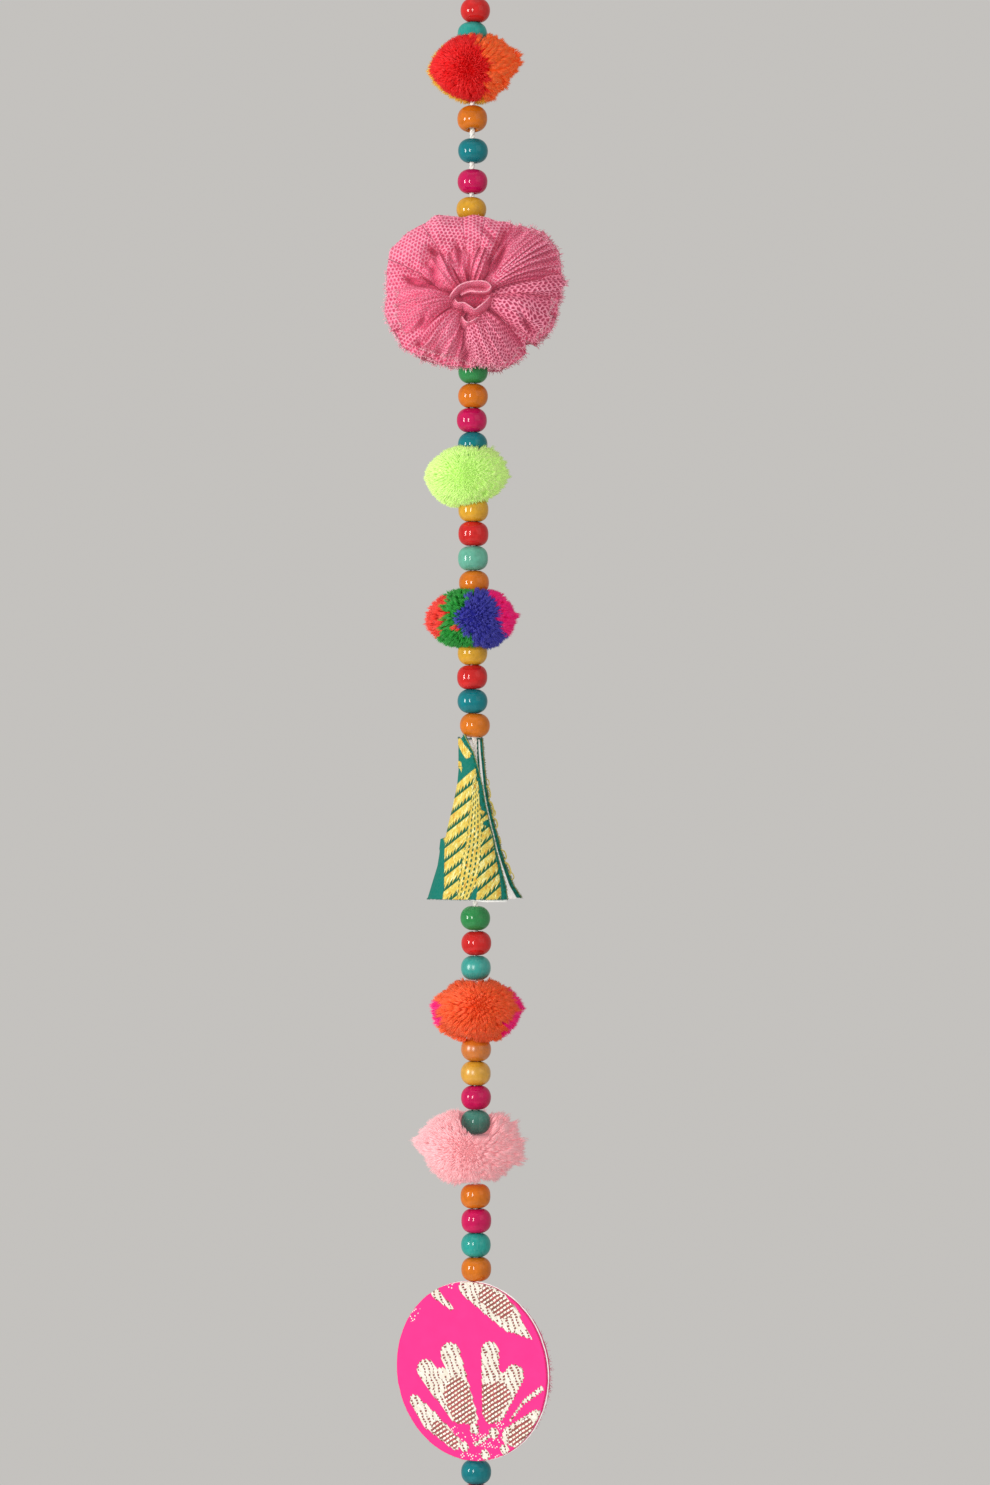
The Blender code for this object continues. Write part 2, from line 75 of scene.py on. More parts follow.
# drop, x of the cord, from under the top knot to above the end knot
CORD_ROUTE = (
    (-6.2, 0.1), (0.0, 0.2), (8.0, -0.3), (36.0, -0.5), (66.0, -0.7), (120.0, -0.35), (136.5, -0.6),
    (170.0, -0.2), (191.0, -0.1), (218.0, -0.5), (230.0, -0.35), (240.0, 0.15), (302.0, 0.5), (319.0, 0.65),
    (370.0, 0.6), (395.0, 0.6), (419.0, 0.75), (487.0, 0.75), (499.0, 0.75),
)
# x, z of the hanging loop, from one side of its knot round to the other
LOOP_ROUTE = (
    (-0.9, -40.2), (-1.6, -36.0), (-3.9, -28.0), (-6.6, -17.0), (-6.2, -7.5), (-3.4, -2.2), (0.0, -0.9),
    (3.7, -2.4), (6.4, -8.0), (6.3, -17.5), (3.7, -28.0), (1.6, -36.0), (0.9, -40.2),
)
TAIL_ROUTE = ((0.75, 499.5), (0.75, 503.0), (0.9, 507.0), (0.4, 511.0), (-0.3, 515.0))
TOP_KNOT = (0.1, -40.6)  # x, z
END_KNOT = (0.75, 502.2)  # x, drop
KNOT_TURNS = 2.0
KNOT_HALF_HEIGHT = 3.0
KNOT_STEP = 0.3

# beads 1 to 31: colour, drop, x, lean to the viewer in degrees, lean to the right in degrees
BEADS = (
    ("red", 0.0, 0.43, 0, 2), ("turquoise", 8.07, -0.53, 2, -3), ("orange", 36.13, -0.57, 16, 0),
    ("dark_teal", 46.80, -0.33, 0, 0), ("magenta", 57.07, -0.50, 1, 1), ("yellow", 66.33, -0.87, 2, 2),
    ("green", 120.30, -0.30, 0, 0), ("orange", 128.53, -0.33, 1, 1), ("magenta", 136.60, -0.73, 0, -1),
    ("dark_teal", 144.64, -0.43, 0, 0), ("yellow", 166.43, -0.20, 1, 1), ("red", 174.48, -0.20, 0, 0),
    ("mint", 182.64, -0.33, 0, -1), ("orange", 190.77, 0.0, 1, 0), ("yellow", 214.20, -0.50, 0, 1),
    ("red", 222.22, -0.60, 0, -1), ("dark_teal", 230.24, -0.50, 1, 0), ("orange", 238.26, 0.30, 0, 2),
    ("green", 302.53, 0.43, 0, 0), ("red", 310.87, 0.77, 0, -1), ("turquoise", 319.10, 0.63, 1, 0),
    ("amber", 346.20, 0.70, 0, 0), ("yellow", 354.25, 0.57, 0, 1), ("magenta", 362.31, 0.67, 0, 0),
    ("grey_teal", 370.50, 0.57, 0, -1), ("orange", 395.17, 0.50, 1, 0), ("magenta", 403.37, 0.77, 0, 0),
    ("turquoise", 411.43, 0.63, 0, 0), ("orange", 419.50, 0.75, 0, 0), ("dark_teal", 487.10, 0.73, 0, 0),
    ("red", 495.16, 0.73, 0, 0),
)
BEAD_RADIUS = 5.0
BEAD_HEIGHT = 7.96
BEAD_CURVE_HEIGHT = 8.4  # the turned curve, cut flat at both ends
BEAD_HOLE_RADIUS = 1.5
BEAD_STEPS = 44
BEAD_PROFILE_STEPS = 20

# paint: linear colour, how much wood grain shows through
PAINTS = {
    "red": ((0.54, 0.014, 0.014), 0.06),
    "turquoise": ((0.012, 0.30, 0.26), 0.45),
    "orange": ((0.58, 0.150, 0.006), 0.14),
    "dark_teal": ((0.0, 0.165, 0.195), 0.10),
    "magenta": ((0.50, 0.003, 0.085), 0.05),
    "yellow": ((0.60, 0.31, 0.020), 0.20),
    "green": ((0.022, 0.22, 0.060), 0.18),
    "mint": ((0.11, 0.38, 0.28), 0.30),
    "amber": ((0.54, 0.150, 0.008), 0.24),
    "grey_teal": ((0.045, 0.20, 0.155), 0.50),
}

# varnish: weight, roughness and index of refraction
GLOSS_COAT = (0.65, 0.07, 1.5)
SATIN_COAT = (1.0, 0.28, 1.65)
SATIN_BEADS = (21, 22, 23)

# yarn: linear colour, and the strength of its painted glow, emission that stands in for light through its
# fibres
YARNS = {
    "scarlet": ((0.92, 0.003, 0.006), 0.10),
    "orange": ((1.0, 0.165, 0.030), 0.20),
    "yellow": ((1.0, 0.56, 0.04), 0.10),
    "lime": ((0.70, 0.98, 0.31), 0.24),
    "red": ((0.95, 0.055, 0.035), 0.08),
    "green": ((0.015, 0.36, 0.04), 0.08),
    "violet": ((0.065, 0.065, 0.50), 0.10),
    "magenta": ((0.95, 0.006, 0.22), 0.20),
    "flame": ((1.0, 0.135, 0.030), 0.14),
    "pink": ((1.0, 0.525, 0.56), 0.24),
}

# net, cone and disc: linear colours
NET_COLOUR = (0.92, 0.24, 0.385)
# NET_DEEP is the deeper pink of dense net; darkened, it is also the painted shade in the net's valleys and
# holes
NET_DEEP = (0.82, 0.060, 0.165)
CONE_TEAL = (0.0, 0.150, 0.115)
CONE_LINE = (0.012, 0.115, 0.055)
CONE_YELLOW = (0.86, 0.70, 0.15)
CONE_GOLD = (0.80, 0.52, 0.06)
CONE_ORANGE = (0.72, 0.29, 0.03)
CONE_PALE = (1.0, 0.93, 0.42)
LINING_WHITE = (0.95, 0.94, 0.93)
DISC_PINK = (0.92, 0.018, 0.235)
DISC_CREAM = (0.98, 0.92, 0.78)
DISC_BROWN = (0.20, 0.065, 0.050)
DISC_ROSE = (0.42, 0.075, 0.085)
CARD_WHITE = (0.92, 0.90, 0.89)
DISC_THREAD = 2.0

# Pompom outlines to the viewer: angle in degrees from the right, anticlockwise, and radius
OUTLINES = {
    "pompom_red_orange": (
        (0, 15.4), (9, 16.5), (20, 15.6), (30, 14.4), (49, 13.3), (90, 11.2), (129, 12.5), (151, 13.6),
        (174, 15.0), (185, 15.9), (194, 15.2), (210, 13.8), (232, 12.9), (267, 12.0), (301, 12.6),
        (325, 12.8), (346, 13.2),
    ),
    "pompom_lime": (
        (2, 14.3), (14, 13.7), (27, 13.5), (41, 13.0), (56, 12.3), (76, 11.2), (101, 10.9), (123, 11.7),
        (144, 12.5), (164, 14.2), (181, 15.0), (197, 14.1), (211, 13.3), (230, 12.6), (251, 11.4),
        (280, 10.6), (309, 10.9), (323, 11.3), (340, 12.3), (351, 13.5),
    ),
    "pompom_four_colours": (
        (3, 15.8), (15, 14.6), (30, 13.8), (42, 13.3), (59, 11.7), (94, 10.4), (117, 11.2), (133, 12.2),
        (152, 13.8), (168, 15.1), (183, 15.9), (197, 15.0), (209, 14.0), (228, 12.6), (243, 11.2),
        (266, 10.4), (297, 11.4), (312, 12.7), (325, 13.5), (339, 14.2), (353, 15.1),
    ),
    "pompom_orange": (
        (4, 15.9), (18, 14.9), (31, 13.6), (49, 12.5), (66, 11.7), (87, 10.7), (109, 11.3), (127, 12.8),
        (144, 13.0), (157, 14.7), (168, 15.7), (178, 15.8), (191, 15.5), (200, 15.2), (220, 13.1),
        (241, 11.8), (268, 11.0), (294, 11.5), (315, 12.9), (332, 13.6), (343, 13.9), (355, 15.1),
    ),
    "pompom_pale_pink": (
        (5, 18.9), (15, 17.7), (30, 17.5), (42, 16.6), (53, 14.4), (68, 12.0), (88, 10.5), (106, 13.4),
        (118, 14.6), (132, 15.4), (149, 16.2), (164, 17.8), (175, 19.3), (181, 17.4), (189, 15.5),
        (210, 14.8), (227, 14.4), (242, 13.8), (256, 11.9), (268, 10.0), (294, 11.2), (305, 13.4),
        (319, 14.6), (333, 15.3), (345, 17.2), (352, 19.3),
    ),
}
TUFT_ROOT = 0.80
CORE_SHARE = 0.83
CORE_ROWS = 26
CORE_COLUMNS = 40
CORE_CLEAR = 4.3  # from the core to the middle of the bead above or below
BEAD_CLEAR = (4.9, 4.0)  # strands end further than this from a bead's middle, across or up
# a fibre: its root, a ring of three points and its tip
FIBRE_RADIUS = 0.115
FIBRE_POINTS = 5
FIBRE_SIDES = ((0, 2, 1), (0, 3, 2), (0, 1, 3), (1, 2, 4), (2, 3, 4), (3, 1, 4))
FIBRE_TIP = (0.0, 0.6, 0.6, 0.6, 1.0)  # how near to the tip each of its points is, which also sets the yarn's painted root shade
FRAY_RADIUS = 0.055

# name, drop, x, slot, beads above and below, seed
POMPOMS = (
    ("pompom_red_orange", 19.0, 0.13, "yarn_scarlet", 2, 3, 11),
    ("pompom_lime", 155.4, -2.1, "yarn_lime", 10, 11, 23),
    ("pompom_four_colours", 202.7, -0.8, "yarn_violet", 14, 15, 37),
    ("pompom_orange", 333.5, 1.2, "yarn_flame", 21, 22, 41),
    ("pompom_pale_pink", 379.2, -1.6, "yarn_pale_pink", 25, 26, 59),
)

# height, x where the next colour of yarn begins
ORANGE_EDGE = ((-10.3, 2.9), (-7.0, 5.8), (-3.5, 6.4), (0.1, 5.2), (4.3, 2.9), (10.8, 0.6))
GREEN_EDGE = ((-9.9, 1.2), (-7.7, -0.7), (-5.2, -4.1), (-2.6, -5.4), (1.2, -5.8), (5.4, -2.9), (9.9, -0.5))
RIM_EDGE = (
    (-10.8, 6.8), (-9.0, 8.6), (-6.2, 10.8), (-2.9, 12.2), (-0.6, 14.4), (0.6, 15.0), (2.0, 15.0),
    (4.5, 13.6), (7.6, 11.4), (9.6, 8.4),
)
MAGENTA_EDGE = ((-9.9, 10.4), (-7.3, 12.6), (-4.8, 12.0), (0.0, 10.6), (4.0, 10.6), (5.9, 10.2), (9.3, 5.7))
# where the pale pink pompom leaves the bead above it in sight: across from the bead's middle, lowest height
SIGHT_OF_BEAD = ((-5.6, 1.2), (-4.7, 0.7), (-0.5, -3.2), (4.5, -3.7), (5.4, -3.0))
SIGHT_HALF_WIDTH = 5.5
SIGHT_DEPTH = 2.5

# Net pom, about its own middle: angle in degrees from the right, anticlockwise to the viewer, and radius
NET_DROP = 94.1
NET_X = -0.7
NET_GATHER_RADIUS = 2.2
NET_GATHER_DOWN = 3.0
NET_GATHER_COVER = (5.4, 9, 72)  # the crumpled net over it: radius, rows, columns
NET_STEPS = 540
NET_ROWS = 26
NET_PITCH = 1.18
NET_OUTLINE = (
    (0, 29.5), (30, 31.7), (60, 25.4), (90, 24.2), (120, 27.1), (150, 29.4), (180, 28.6), (215, 29.6),
    (240, 26.5), (270, 25.2), (295, 27.6), (311, 26.9), (317, 24.9), (322, 28.2), (333, 28.9),
)
# angle of each main crease, its depth, its half width in degrees, and where it starts and ends
NET_CREASES = (
    (22, 2.2, 3.5, 0.10, 0.75), (59, 4.6, 3.0, 0.10, 0.85), (80, 1.6, 3.5, 0.25, 0.80),
    (98, 2.4, 3.0, 0.10, 0.70), (128, 3.4, 3.5, 0.30, 0.80), (160, 3.0, 3.5, 0.05, 0.85),
    (208, 3.4, 3.0, 0.05, 0.95), (238, 2.0, 3.0, 0.15, 1.00), (263, 3.2, 2.4, 0.15, 1.00),
    (285, 1.8, 2.6, 0.30, 1.00), (311, 3.8, 2.8, 0.05, 1.00), (342, 2.2, 3.0, 0.15, 0.90),
    (356, 3.2, 2.0, 0.45, 1.05),
)
# how deep the pleats of the front layers are, as a share, at each angle
NET_PLEATS = (
    (0, 0.45), (22, 1.25), (45, 1.5), (62, 0.5), (90, 0.30), (130, 0.34), (165, 0.55), (190, 0.85),
    (215, 0.6), (240, 0.75), (265, 1.25), (290, 0.9), (315, 0.5), (340, 0.35),
)
# the folded-over band round the top: from and to, in degrees, and how far it stands out
NET_BAND = (48, 176, 4.4)
NET_FOLDED = (62, 168)  # where the rim frays less, in degrees
# layer of net: y at the hub, y half way out, y at the rim, share of the outline, turn of its creases,
# number of fine pleats, their depth, how far its rim wanders, seed
NET_FRONT = (
    (-7.5, -16.5, -8.5, 1.00, 0, 58, 1.1, 0.016, 6),
    (-6.0, -14.0, -5.5, 0.97, 9, 50, 1.1, 0.025, 7),
)
NET_BACK = (
    (-1.5, -4.5, -1.0, 0.93, 4, 44, 1.2, 0.03, 8),
    (4.2, 11.2, 4.1, 0.95, 14, 46, 1.2, 0.03, 9),
    (8.7, 19.5, 9.2, 0.98, 10, 56, 1.05, 0.02, 10),
)
# front lobes of net: from and to at the gather, from and to at the rim, in degrees; how far out each reaches,
# how far it is lifted, how far it puffs out, how far its end rolls back, number of pleats and their depth,
# how much they slant, how dense it looks
NET_LOBES = (
    (128, 178, 120, 166, 0.69, -0.6, 3.6, 5.5, 3, 1.0, 3.0, 0.42),
    (98, 136, 88, 129, 0.62, -1.0, 4.0, 6.0, 2, 0.9, -2.2, 0.35),
    (50, 106, 62, 95, 0.67, -0.9, 3.6, 5.5, 4, 1.2, 3.5, 0.30),
    (18, 50, 9, 60, 0.95, 0.4, 3.6, 0.0, 9, 1.4, 4.5, 0.12),
    (-2, 20, -8, 11, 1.01, -0.8, 1.8, 0.0, 2, 0.5, -1.0, -0.50),
    (-36, 4, -44, -3, 0.92, 1.3, 3.8, 0.0, 3, 0.55, 1.8, -0.55),
    (244, 328, 258, 315, 0.94, 0.0, 4.0, 0.0, 5, 0.95, -2.5, -0.30),
    (204, 248, 220, 262, 0.90, 1.1, 3.4, 0.0, 5, 1.3, 3.5, 0.15),
    (172, 210, 163, 224, 0.87, 0.3, 4.0, 0.0, 6, 1.0, -3.0, 0.50),
)
# small dents in the lobes, and ridges where the depth is negative: x, height above the net pom's middle,
# direction in degrees, half length, half width, depth
NET_DENTS = (
    (-19.6, 2.7, 158, 2.8, 1.2, 4.0), (-12.7, 12.4, 140, 1.9, 1.0, 4.0), (-4.2, 10.6, 100, 4.0, 0.9, 3.6),
    (-12.3, 6.0, 95, 3.2, 1.4, 3.0), (-17.0, 7.4, 85, 3.4, 1.2, -2.2), (-8.4, 9.5, 78, 3.6, 1.1, -2.4),
    (-14.6, 1.2, 10, 3.4, 0.8, 2.4), (9.2, 9.2, 66, 4.0, 0.8, 3.6), (-17.2, -18.3, 140, 1.8, 0.9, 2.6),
    (-11.0, -21.0, 90, 1.6, 0.9, 2.2), (-16.3, -10.5, 60, 2.4, 0.8, 2.4), (6.0, 17.5, 132, 4.0, 0.8, 2.6),
    (-1.6, -21.6, 60, 2.2, 0.8, 2.2), (18.2, -11.6, 118, 3.4, 0.8, 2.8),
)
NET_LOBE_ROLL = 7  # the column of how far the end rolls back: a rolled end doesn't fray
NET_LOBE_ROWS = 26
NET_LOBE_COLUMNS = 120
NET_LOBE_CURVE = (-8.4, -20.0, -9.6)
# the standing folds at the gather: x, height above the net pom's middle
NET_CURLS = (
    (
        (-7.4, -3.4), (-6.4, -1.6), (-4.2, 0.5), (-1.6, 1.7), (1.6, 2.1), (4.6, 1.8), (6.3, 0.4), (5.2, -1.2),
        (2.6, -1.5), (-0.6, -1.2), (-3.6, -2.2),
    ),
    (
        (-5.6, -3.6), (-4.6, -5.0), (-2.6, -5.0), (-0.6, -6.2), (1.0, -7.2), (2.6, -6.2), (4.6, -4.6),
        (6.0, -2.8),
    ),
    ((-3.4, -9.4), (-1.8, -11.4), (0.2, -11.0), (2.4, -9.6)),
)
# section of a standing fold: distance to its side and share of its height
NET_CURL_SECTION = (
    (-2.1, 0.45), (-1.5, 0.70), (-0.9, 0.87), (-0.42, 0.96), (-0.15, 1.0), (0.12, 1.0), (0.30, 0.93),
    (0.45, 0.6), (0.5, 0.0),
)
NET_CURL_RIM = 4  # the strip of that section that is its bright rim
NET_CURL_DEPTHS = (-9.0, -18.4)  # y of its foot and of its crest
# net that looks less dense than this is stretched, so its threads lie further apart
NET_WIDER = ((-0.55, 0.72), (-0.25, 1.0))
NET_FRAY = 1.75
NET_CURL_FRAY = 0.35  # as a share of that
NET_FRAY_RADIUS = 0.14

# Brocade cone: drop, x of the left side, x of the front edge, x of the back edge
CONE_SECTIONS = (
    (242.6, -5.15, -3.2, 3.0), (247.0, -5.2, -0.1, 3.3), (253.0, -5.15, 1.7, 3.9), (259.0, -5.7, 3.07, 4.5),
    (265.0, -6.9, 4.1, 5.6), (271.4, -8.5, 5.6, 7.1), (275.3, -9.3, 6.6, 8.2), (279.5, -11.3, 7.5, 9.2),
    (285.2, -12.2, 9.1, 11.0), (291.7, -14.2, 10.8, 13.4), (296.0, -15.5, 11.3, 16.2),
)
CONE_BACK_EDGE_DEG = 35.0
CONE_TIP_RISE = 1.3
CONE_COLUMNS = 210
CONE_ROWS = 152
CONE_SKIN = 0.9
CONE_RELIEF = 0.12
CONE_LINING_INSET = 1.3
CONE_HEM = 3.0
HEM_ROWS = 60
HEM_COLUMNS = 8
HEM_INSET = 2.3
LINING_ROWS = 70
LINING_COLUMNS = 90
# x, drop round the yellow leaf, its upper part, the small lens beside it and the teal wedge in it
LEAF = (
    (-5.9, 258.2), (-3.0, 255.4), (0.48, 252.4), (1.0, 255.5), (1.6, 259.0), (1.9, 263.2), (2.4, 266.4),
    (4.2, 267.2), (4.8, 269.4), (3.1, 270.3), (3.0, 271.4), (4.8, 271.8), (5.4, 273.0), (6.1, 275.4),
    (6.7, 279.0), (7.26, 282.6), (8.2, 286.6), (8.8, 291.0), (9.2, 297.6), (-10.5, 297.6), (-9.8, 291.2),
    (-9.75, 280.0), (-9.4, 275.5), (-12.0, 270.0), (-12.0, 260.0),
)
LEAF_TOP = (
    (-7.0, 241.2), (-5.0, 241.4), (-4.3, 242.8), (-3.05, 244.9), (-1.9, 246.2), (-0.9, 247.6), (-1.2, 248.9),
    (-2.6, 249.4), (-3.7, 247.9), (-4.9, 245.6), (-5.3, 244.6), (-7.0, 244.4),
)
LEAF_LENS = ((-7.0, 249.4), (-4.3, 250.4), (-3.9, 252.4), (-4.1, 253.9), (-4.7, 252.6), (-7.0, 252.0))
LEAF_WEDGE = ((-2.0, 298.0), (-0.6, 293.5), (1.2, 291.0), (1.3, 292.5), (0.4, 298.0))
# drop, x of the left and the right side of the leaf's rib
RIB = (
    (254.6, 0.35, 0.45), (257.0, -0.4, 0.9), (263.2, -0.7, 1.88), (269.0, -1.63, 2.3), (273.7, -2.1, 2.58),
    (277.2, -2.56, 2.5), (284.2, -3.96, 2.0), (290.1, -4.9, 0.9), (296.0, -5.4, -1.86),
)
RIB_STRANDS = 4.0
BARS_START = 252.0  # above this drop the leaf has no bars
# slope and drop of a line that parts the leaf's bars, on each side of the rib, and the lines' spacing
BARS_LEFT = (0.80, 266.41, 4.67)
BARS_RIGHT = (0.85, 280.29, 4.60)
YARN_PITCH = 0.47
# yellow threads that stand off the back edge: drop, height, how far out, thickness
CONE_LOOPS = (
    (257.5, 3.5, 0.7, 0.18), (260.5, 5.0, 0.5, 0.30), (266.0, 5.5, 0.5, 0.36), (267.5, 3.4, 1.0, 0.20),
    (271.0, 4.2, 0.7, 0.30), (276.5, 3.0, 0.3, 0.22), (281.5, 3.6, 0.8, 0.26), (286.0, 5.0, 0.6, 0.34),
    (288.5, 3.0, 1.0, 0.20),
)
# where the cloth's back part steps out at the left: drop, how far, over how much of the drop and of the width
CONE_STEP = (275.6, 1.5, 4.2, 0.05)
# how far the lining hangs below the cloth, over these shares of the way round
LINING_LONGER = ((-0.01, 0.9), (0.10, 0.9), (0.19, 0.0), (0.86, 0.0), (0.93, 0.7), (1.0, 0.3))

# Brocade disc; its motifs are tapering strokes: x, height and half width at each end, in millimetres
DISC_DROP = 453.2
DISC_X = 0.75
DISC_TURN_DEG = 33.0
# each layer: how far out its face and its back lie, its radius, how far its rim wanders, its rings and
# steps, seed
DISC_FRONT = (3.5, 2.22, 29.7, 0.0022, 84, 330, 5)
DISC_CARD = (2.2, 1.75, 29.88, 0.0015, 3, 160, 6)
DISC_BACK = (-1.2, -2.2, 27.8, 0.004, 24, 200, 7)
DISC_BEHIND = (1.0, 0.97, 0.5, 0.012)  # shares of the radius where the rings of a layer's back lie
DISC_FRAYED = (250, 170)  # how many ends at the front cloth and at the back one
DISC_RELIEF = 0.16
DISC_MOTIFS = (
    (-8.0, 5.1, 3.98, 0.4, -15.5, 2.65), (-17.7, -1.0, 3.76, -4.4, -13.0, 4.86),
    (-11.0, -4.2, 4.70, -1.1, -14.4, 3.31), (7.8, 7.0, 3.54, 8.1, -13.0, 3.43),
    (17.5, 0.0, 3.65, 9.6, -11.9, 4.42), (12.1, -4.2, 4.97, 7.8, -14.4, 2.49),
    (26.1, -12.4, 1.88, 15.7, -20.3, 3.20), (22.0, -17.4, 3.31, 18.0, -21.3, 2.87),
    (-22.5, -11.3, 1.88, -16.3, -17.4, 3.43), (-16.3, -17.4, 3.43, -6.2, -24.4, 2.32),
    (28.0, -3.6, 0.88, 21.0, -8.6, 0.72), (20.3, -9.4, 0.55, 15.7, -15.2, 0.39),
    (-1.8, 27.6, 2.87, 8.8, 24.0, 5.60), (8.8, 24.0, 5.60, 15.7, 18.3, 4.30),
    (15.7, 18.3, 4.30, 23.9, 12.8, 0.50), (-14.1, 25.2, 1.88, -7.6, 20.4, 0.66),
    (1.5, -19.0, 1.75, 1.7, -19.1, 1.75), (9.1, -19.8, 1.90, 9.3, -19.9, 1.90),
    (-2.5, -25.2, 1.75, -2.4, -25.3, 1.75), (5.8, -27.1, 1.75, 6.0, -27.2, 1.75),
    (13.4, -24.9, 1.75, 13.5, -25.0, 1.75), (2.2, -24.1, 0.70, 6.8, -21.3, 0.70),
)
# where single stitches are strewn
DISC_STREWN = (
    (-6.5, -20.0, 1.3, -3.0, -22.5, 1.5), (2.0, -22.5, 2.2, 11.5, -22.5, 2.4),
    (-3.0, -28.3, 1.0, 13.0, -28.3, 1.6), (10.5, -16.0, 1.2, 14.5, -19.0, 1.6),
    (-23.4, 16.0, 1.2, -21.4, 19.4, 1.2), (-9.0, 27.0, 0.9, -7.4, 28.2, 0.9),
)
DISC_HATCHED = (
    (-5.0, -6.9, 4.70, -1.8, -14.4, 3.87), (-8.0, -8.6, 2.76, -4.4, -15.2, 2.76),
    (11.4, -6.9, 4.42, 8.1, -14.4, 2.76), (6.5, -5.8, 2.21, 7.5, -14.1, 2.76),
    (6.2, 25.6, 3.09, 13.4, 21.8, 3.43), (22.6, -15.8, 2.32, 17.4, -20.8, 2.65),
    (-13.0, -19.9, 2.54, -6.7, -24.1, 1.99),
)


def height(drop):
    """The z, in millimetres, of a drop below the middle of bead 1."""
    return -FIRST_BEAD_BELOW_LOOP - drop


def read(table, at, column=1):
    """A number between the rows of a table, found by its first column."""
    rows = np.array(table)
    return np.interp(at, rows[:, 0], rows[:, column])


def eased(t):
    t = np.clip(t, 0, 1)
    return t * t * (3 - 2 * t)


def arch(s, first, middle, last):
    """A smooth curve from first to last, drawn towards middle half way."""
    return (1 - s) ** 2 * first + 2 * s * (1 - s) * middle + s**2 * last


def round_steps(count):
    """Angles evenly round a circle."""
    return np.arange(count) * 2 * math.pi / count


def placed(name, data):
    """A new object in the scene."""
    obj = bpy.data.objects.new(name, data)
    bpy.context.scene.collection.objects.link(obj)
    return obj


# Meshes


class Parts:
    """Points, faces and numbers at the points, gathered until piece() makes one mesh of them."""

    def __init__(self):
        self.points, self.count, self.numbers = [], 0, {}
        self.faces, self.which = {4: [], 3: []}, {4: [], 3: []}

    def add(self, points, quads=None, tris=None, finish=0, **numbers):
        """Faces count from the first point added with them; the number called cloth is a map of the cloth."""
        points = np.reshape(points, (-1, 3))
        for corners, faces in ((4, quads), (3, tris)):
            if faces is not None:
                self.faces[corners].append(faces + self.count)
                self.which[corners].append(np.broadcast_to(finish, len(faces)))
        for key, value in numbers.items():
            width = 2 if key == "cloth" else 1
            value = np.reshape(value, (-1, width)) if np.size(value) > 1 else value
            self.numbers.setdefault(key, []).append(np.broadcast_to(value, (len(points), width)))
        self.points.append(points)
        self.count += len(points)
        return self


def piece(name, node, finishes, parts):
    """A mesh object of the parts, riding on the root, with the given finishes, in place of a CAD node where
    one is given.
    """
    faces = [np.concatenate(parts.faces[corners]) for corners in (4, 3) if parts.faces[corners]]
    corners = np.concatenate([f.ravel() for f in faces])
    sizes = np.concatenate([np.full(len(f), f.shape[1]) for f in faces])
    mesh = bpy.data.meshes.new(name)
    mesh.vertices.add(parts.count)
    mesh.vertices.foreach_set("co", (np.concatenate(parts.points) * MM).astype(np.float32).ravel())
    mesh.loops.add(len(corners))
    mesh.loops.foreach_set("vertex_index", corners.astype(np.int32))
    mesh.polygons.add(len(sizes))
    mesh.polygons.foreach_set("loop_start", np.cumsum(sizes) - sizes)
    which = np.concatenate(parts.which[4] + parts.which[3])
    mesh.polygons.foreach_set("material_index", which.astype(np.int32))
    for key, values in parts.numbers.items():
        values = np.concatenate(values).astype(np.float32)
        if key == "cloth":
            mesh.uv_layers.new(name=key).data.foreach_set("uv", values[corners].ravel())
        else:
            mesh.attributes.new(key, "FLOAT", "POINT").data.foreach_set("value", values.ravel())
    mesh.update(calc_edges=True)
    mesh.validate()
    mesh.shade_smooth()
    for finish in finishes:
        mesh.materials.append(finish)
    obj = placed(name, mesh)
    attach(obj, "root")
    if node:
        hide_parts(node)
    return obj


def grid(down, across):
    return np.meshgrid(down, across, indexing="ij")


def grid_faces(rows, columns, closed=False):
    """Quads of a grid of points held row by row; closed joins the last column to the first."""
    r, c = grid(np.arange(rows - 1) * columns, np.arange(columns if closed else columns - 1))
    after = (c + 1) % columns
    return np.stack([r + c, r + after, r + columns + after, r + columns + c], -1).reshape(-1, 4)


def grid_rim(rows, columns):
    """The numbers of a grid's outer points, in order all the way round."""
    number = np.arange(rows * columns).reshape(rows, columns)
    return np.concatenate([number[0, :-1], number[:-1, -1], number[-1, :0:-1], number[:0:-1, 0]])


def wall(ring, other):
    """Quads between two closed rings of points."""
    return np.stack([ring, other, np.roll(other, -1), np.roll(ring, -1)], -1)


def unit(v):
    return v / np.maximum(np.linalg.norm(v, axis=-1, keepdims=True), 1e-9)


def run_along(points):
    """The distance along each row of points, from its start."""
    steps = np.linalg.norm(np.diff(points, axis=-2), axis=-1)
    return np.concatenate([np.zeros((*steps.shape[:-1], 1)), np.cumsum(steps, -1)], -1)


def smooth_route(points, step):
    """A Catmull-Rom curve through the points, read at about even steps of length."""
    p = np.asarray(points, float)
    ends = np.concatenate([[2 * p[0] - p[1]], p, [2 * p[-1] - p[-2]]])
    t = np.linspace(0, 1, CURVE_STEPS, endpoint=False)[:, None]
    fine = []
    for k in range(len(p) - 1):
        a, b, c, d = ends[k : k + 4]
        cubic = (2 * a - 5 * b + 4 * c - d) * t**2 + (3 * b - a - 3 * c + d) * t**3
        fine.append(0.5 * (2 * b + (c - a) * t + cubic))
    fine = np.concatenate([*fine, p[-1:]])
    run = run_along(fine)
    at = np.linspace(0, run[-1], max(2, int(round(run[-1] / step)) + 1))
    return np.stack([np.interp(at, run, fine[:, i]) for i in range(3)], -1)


def across_route(route):
    """Two directions across a route at each of its points, which turn as little as they can."""
    tangent = unit(np.gradient(route, axis=0))
    normal = np.empty_like(route)
    n = np.array([0.0, 1.0, 0.0])
    for i, t in enumerate(tangent):
        n = n - t * np.dot(n, t)
        n = n / np.linalg.norm(n)
        normal[i] = n
    return normal, np.cross(tangent, normal)


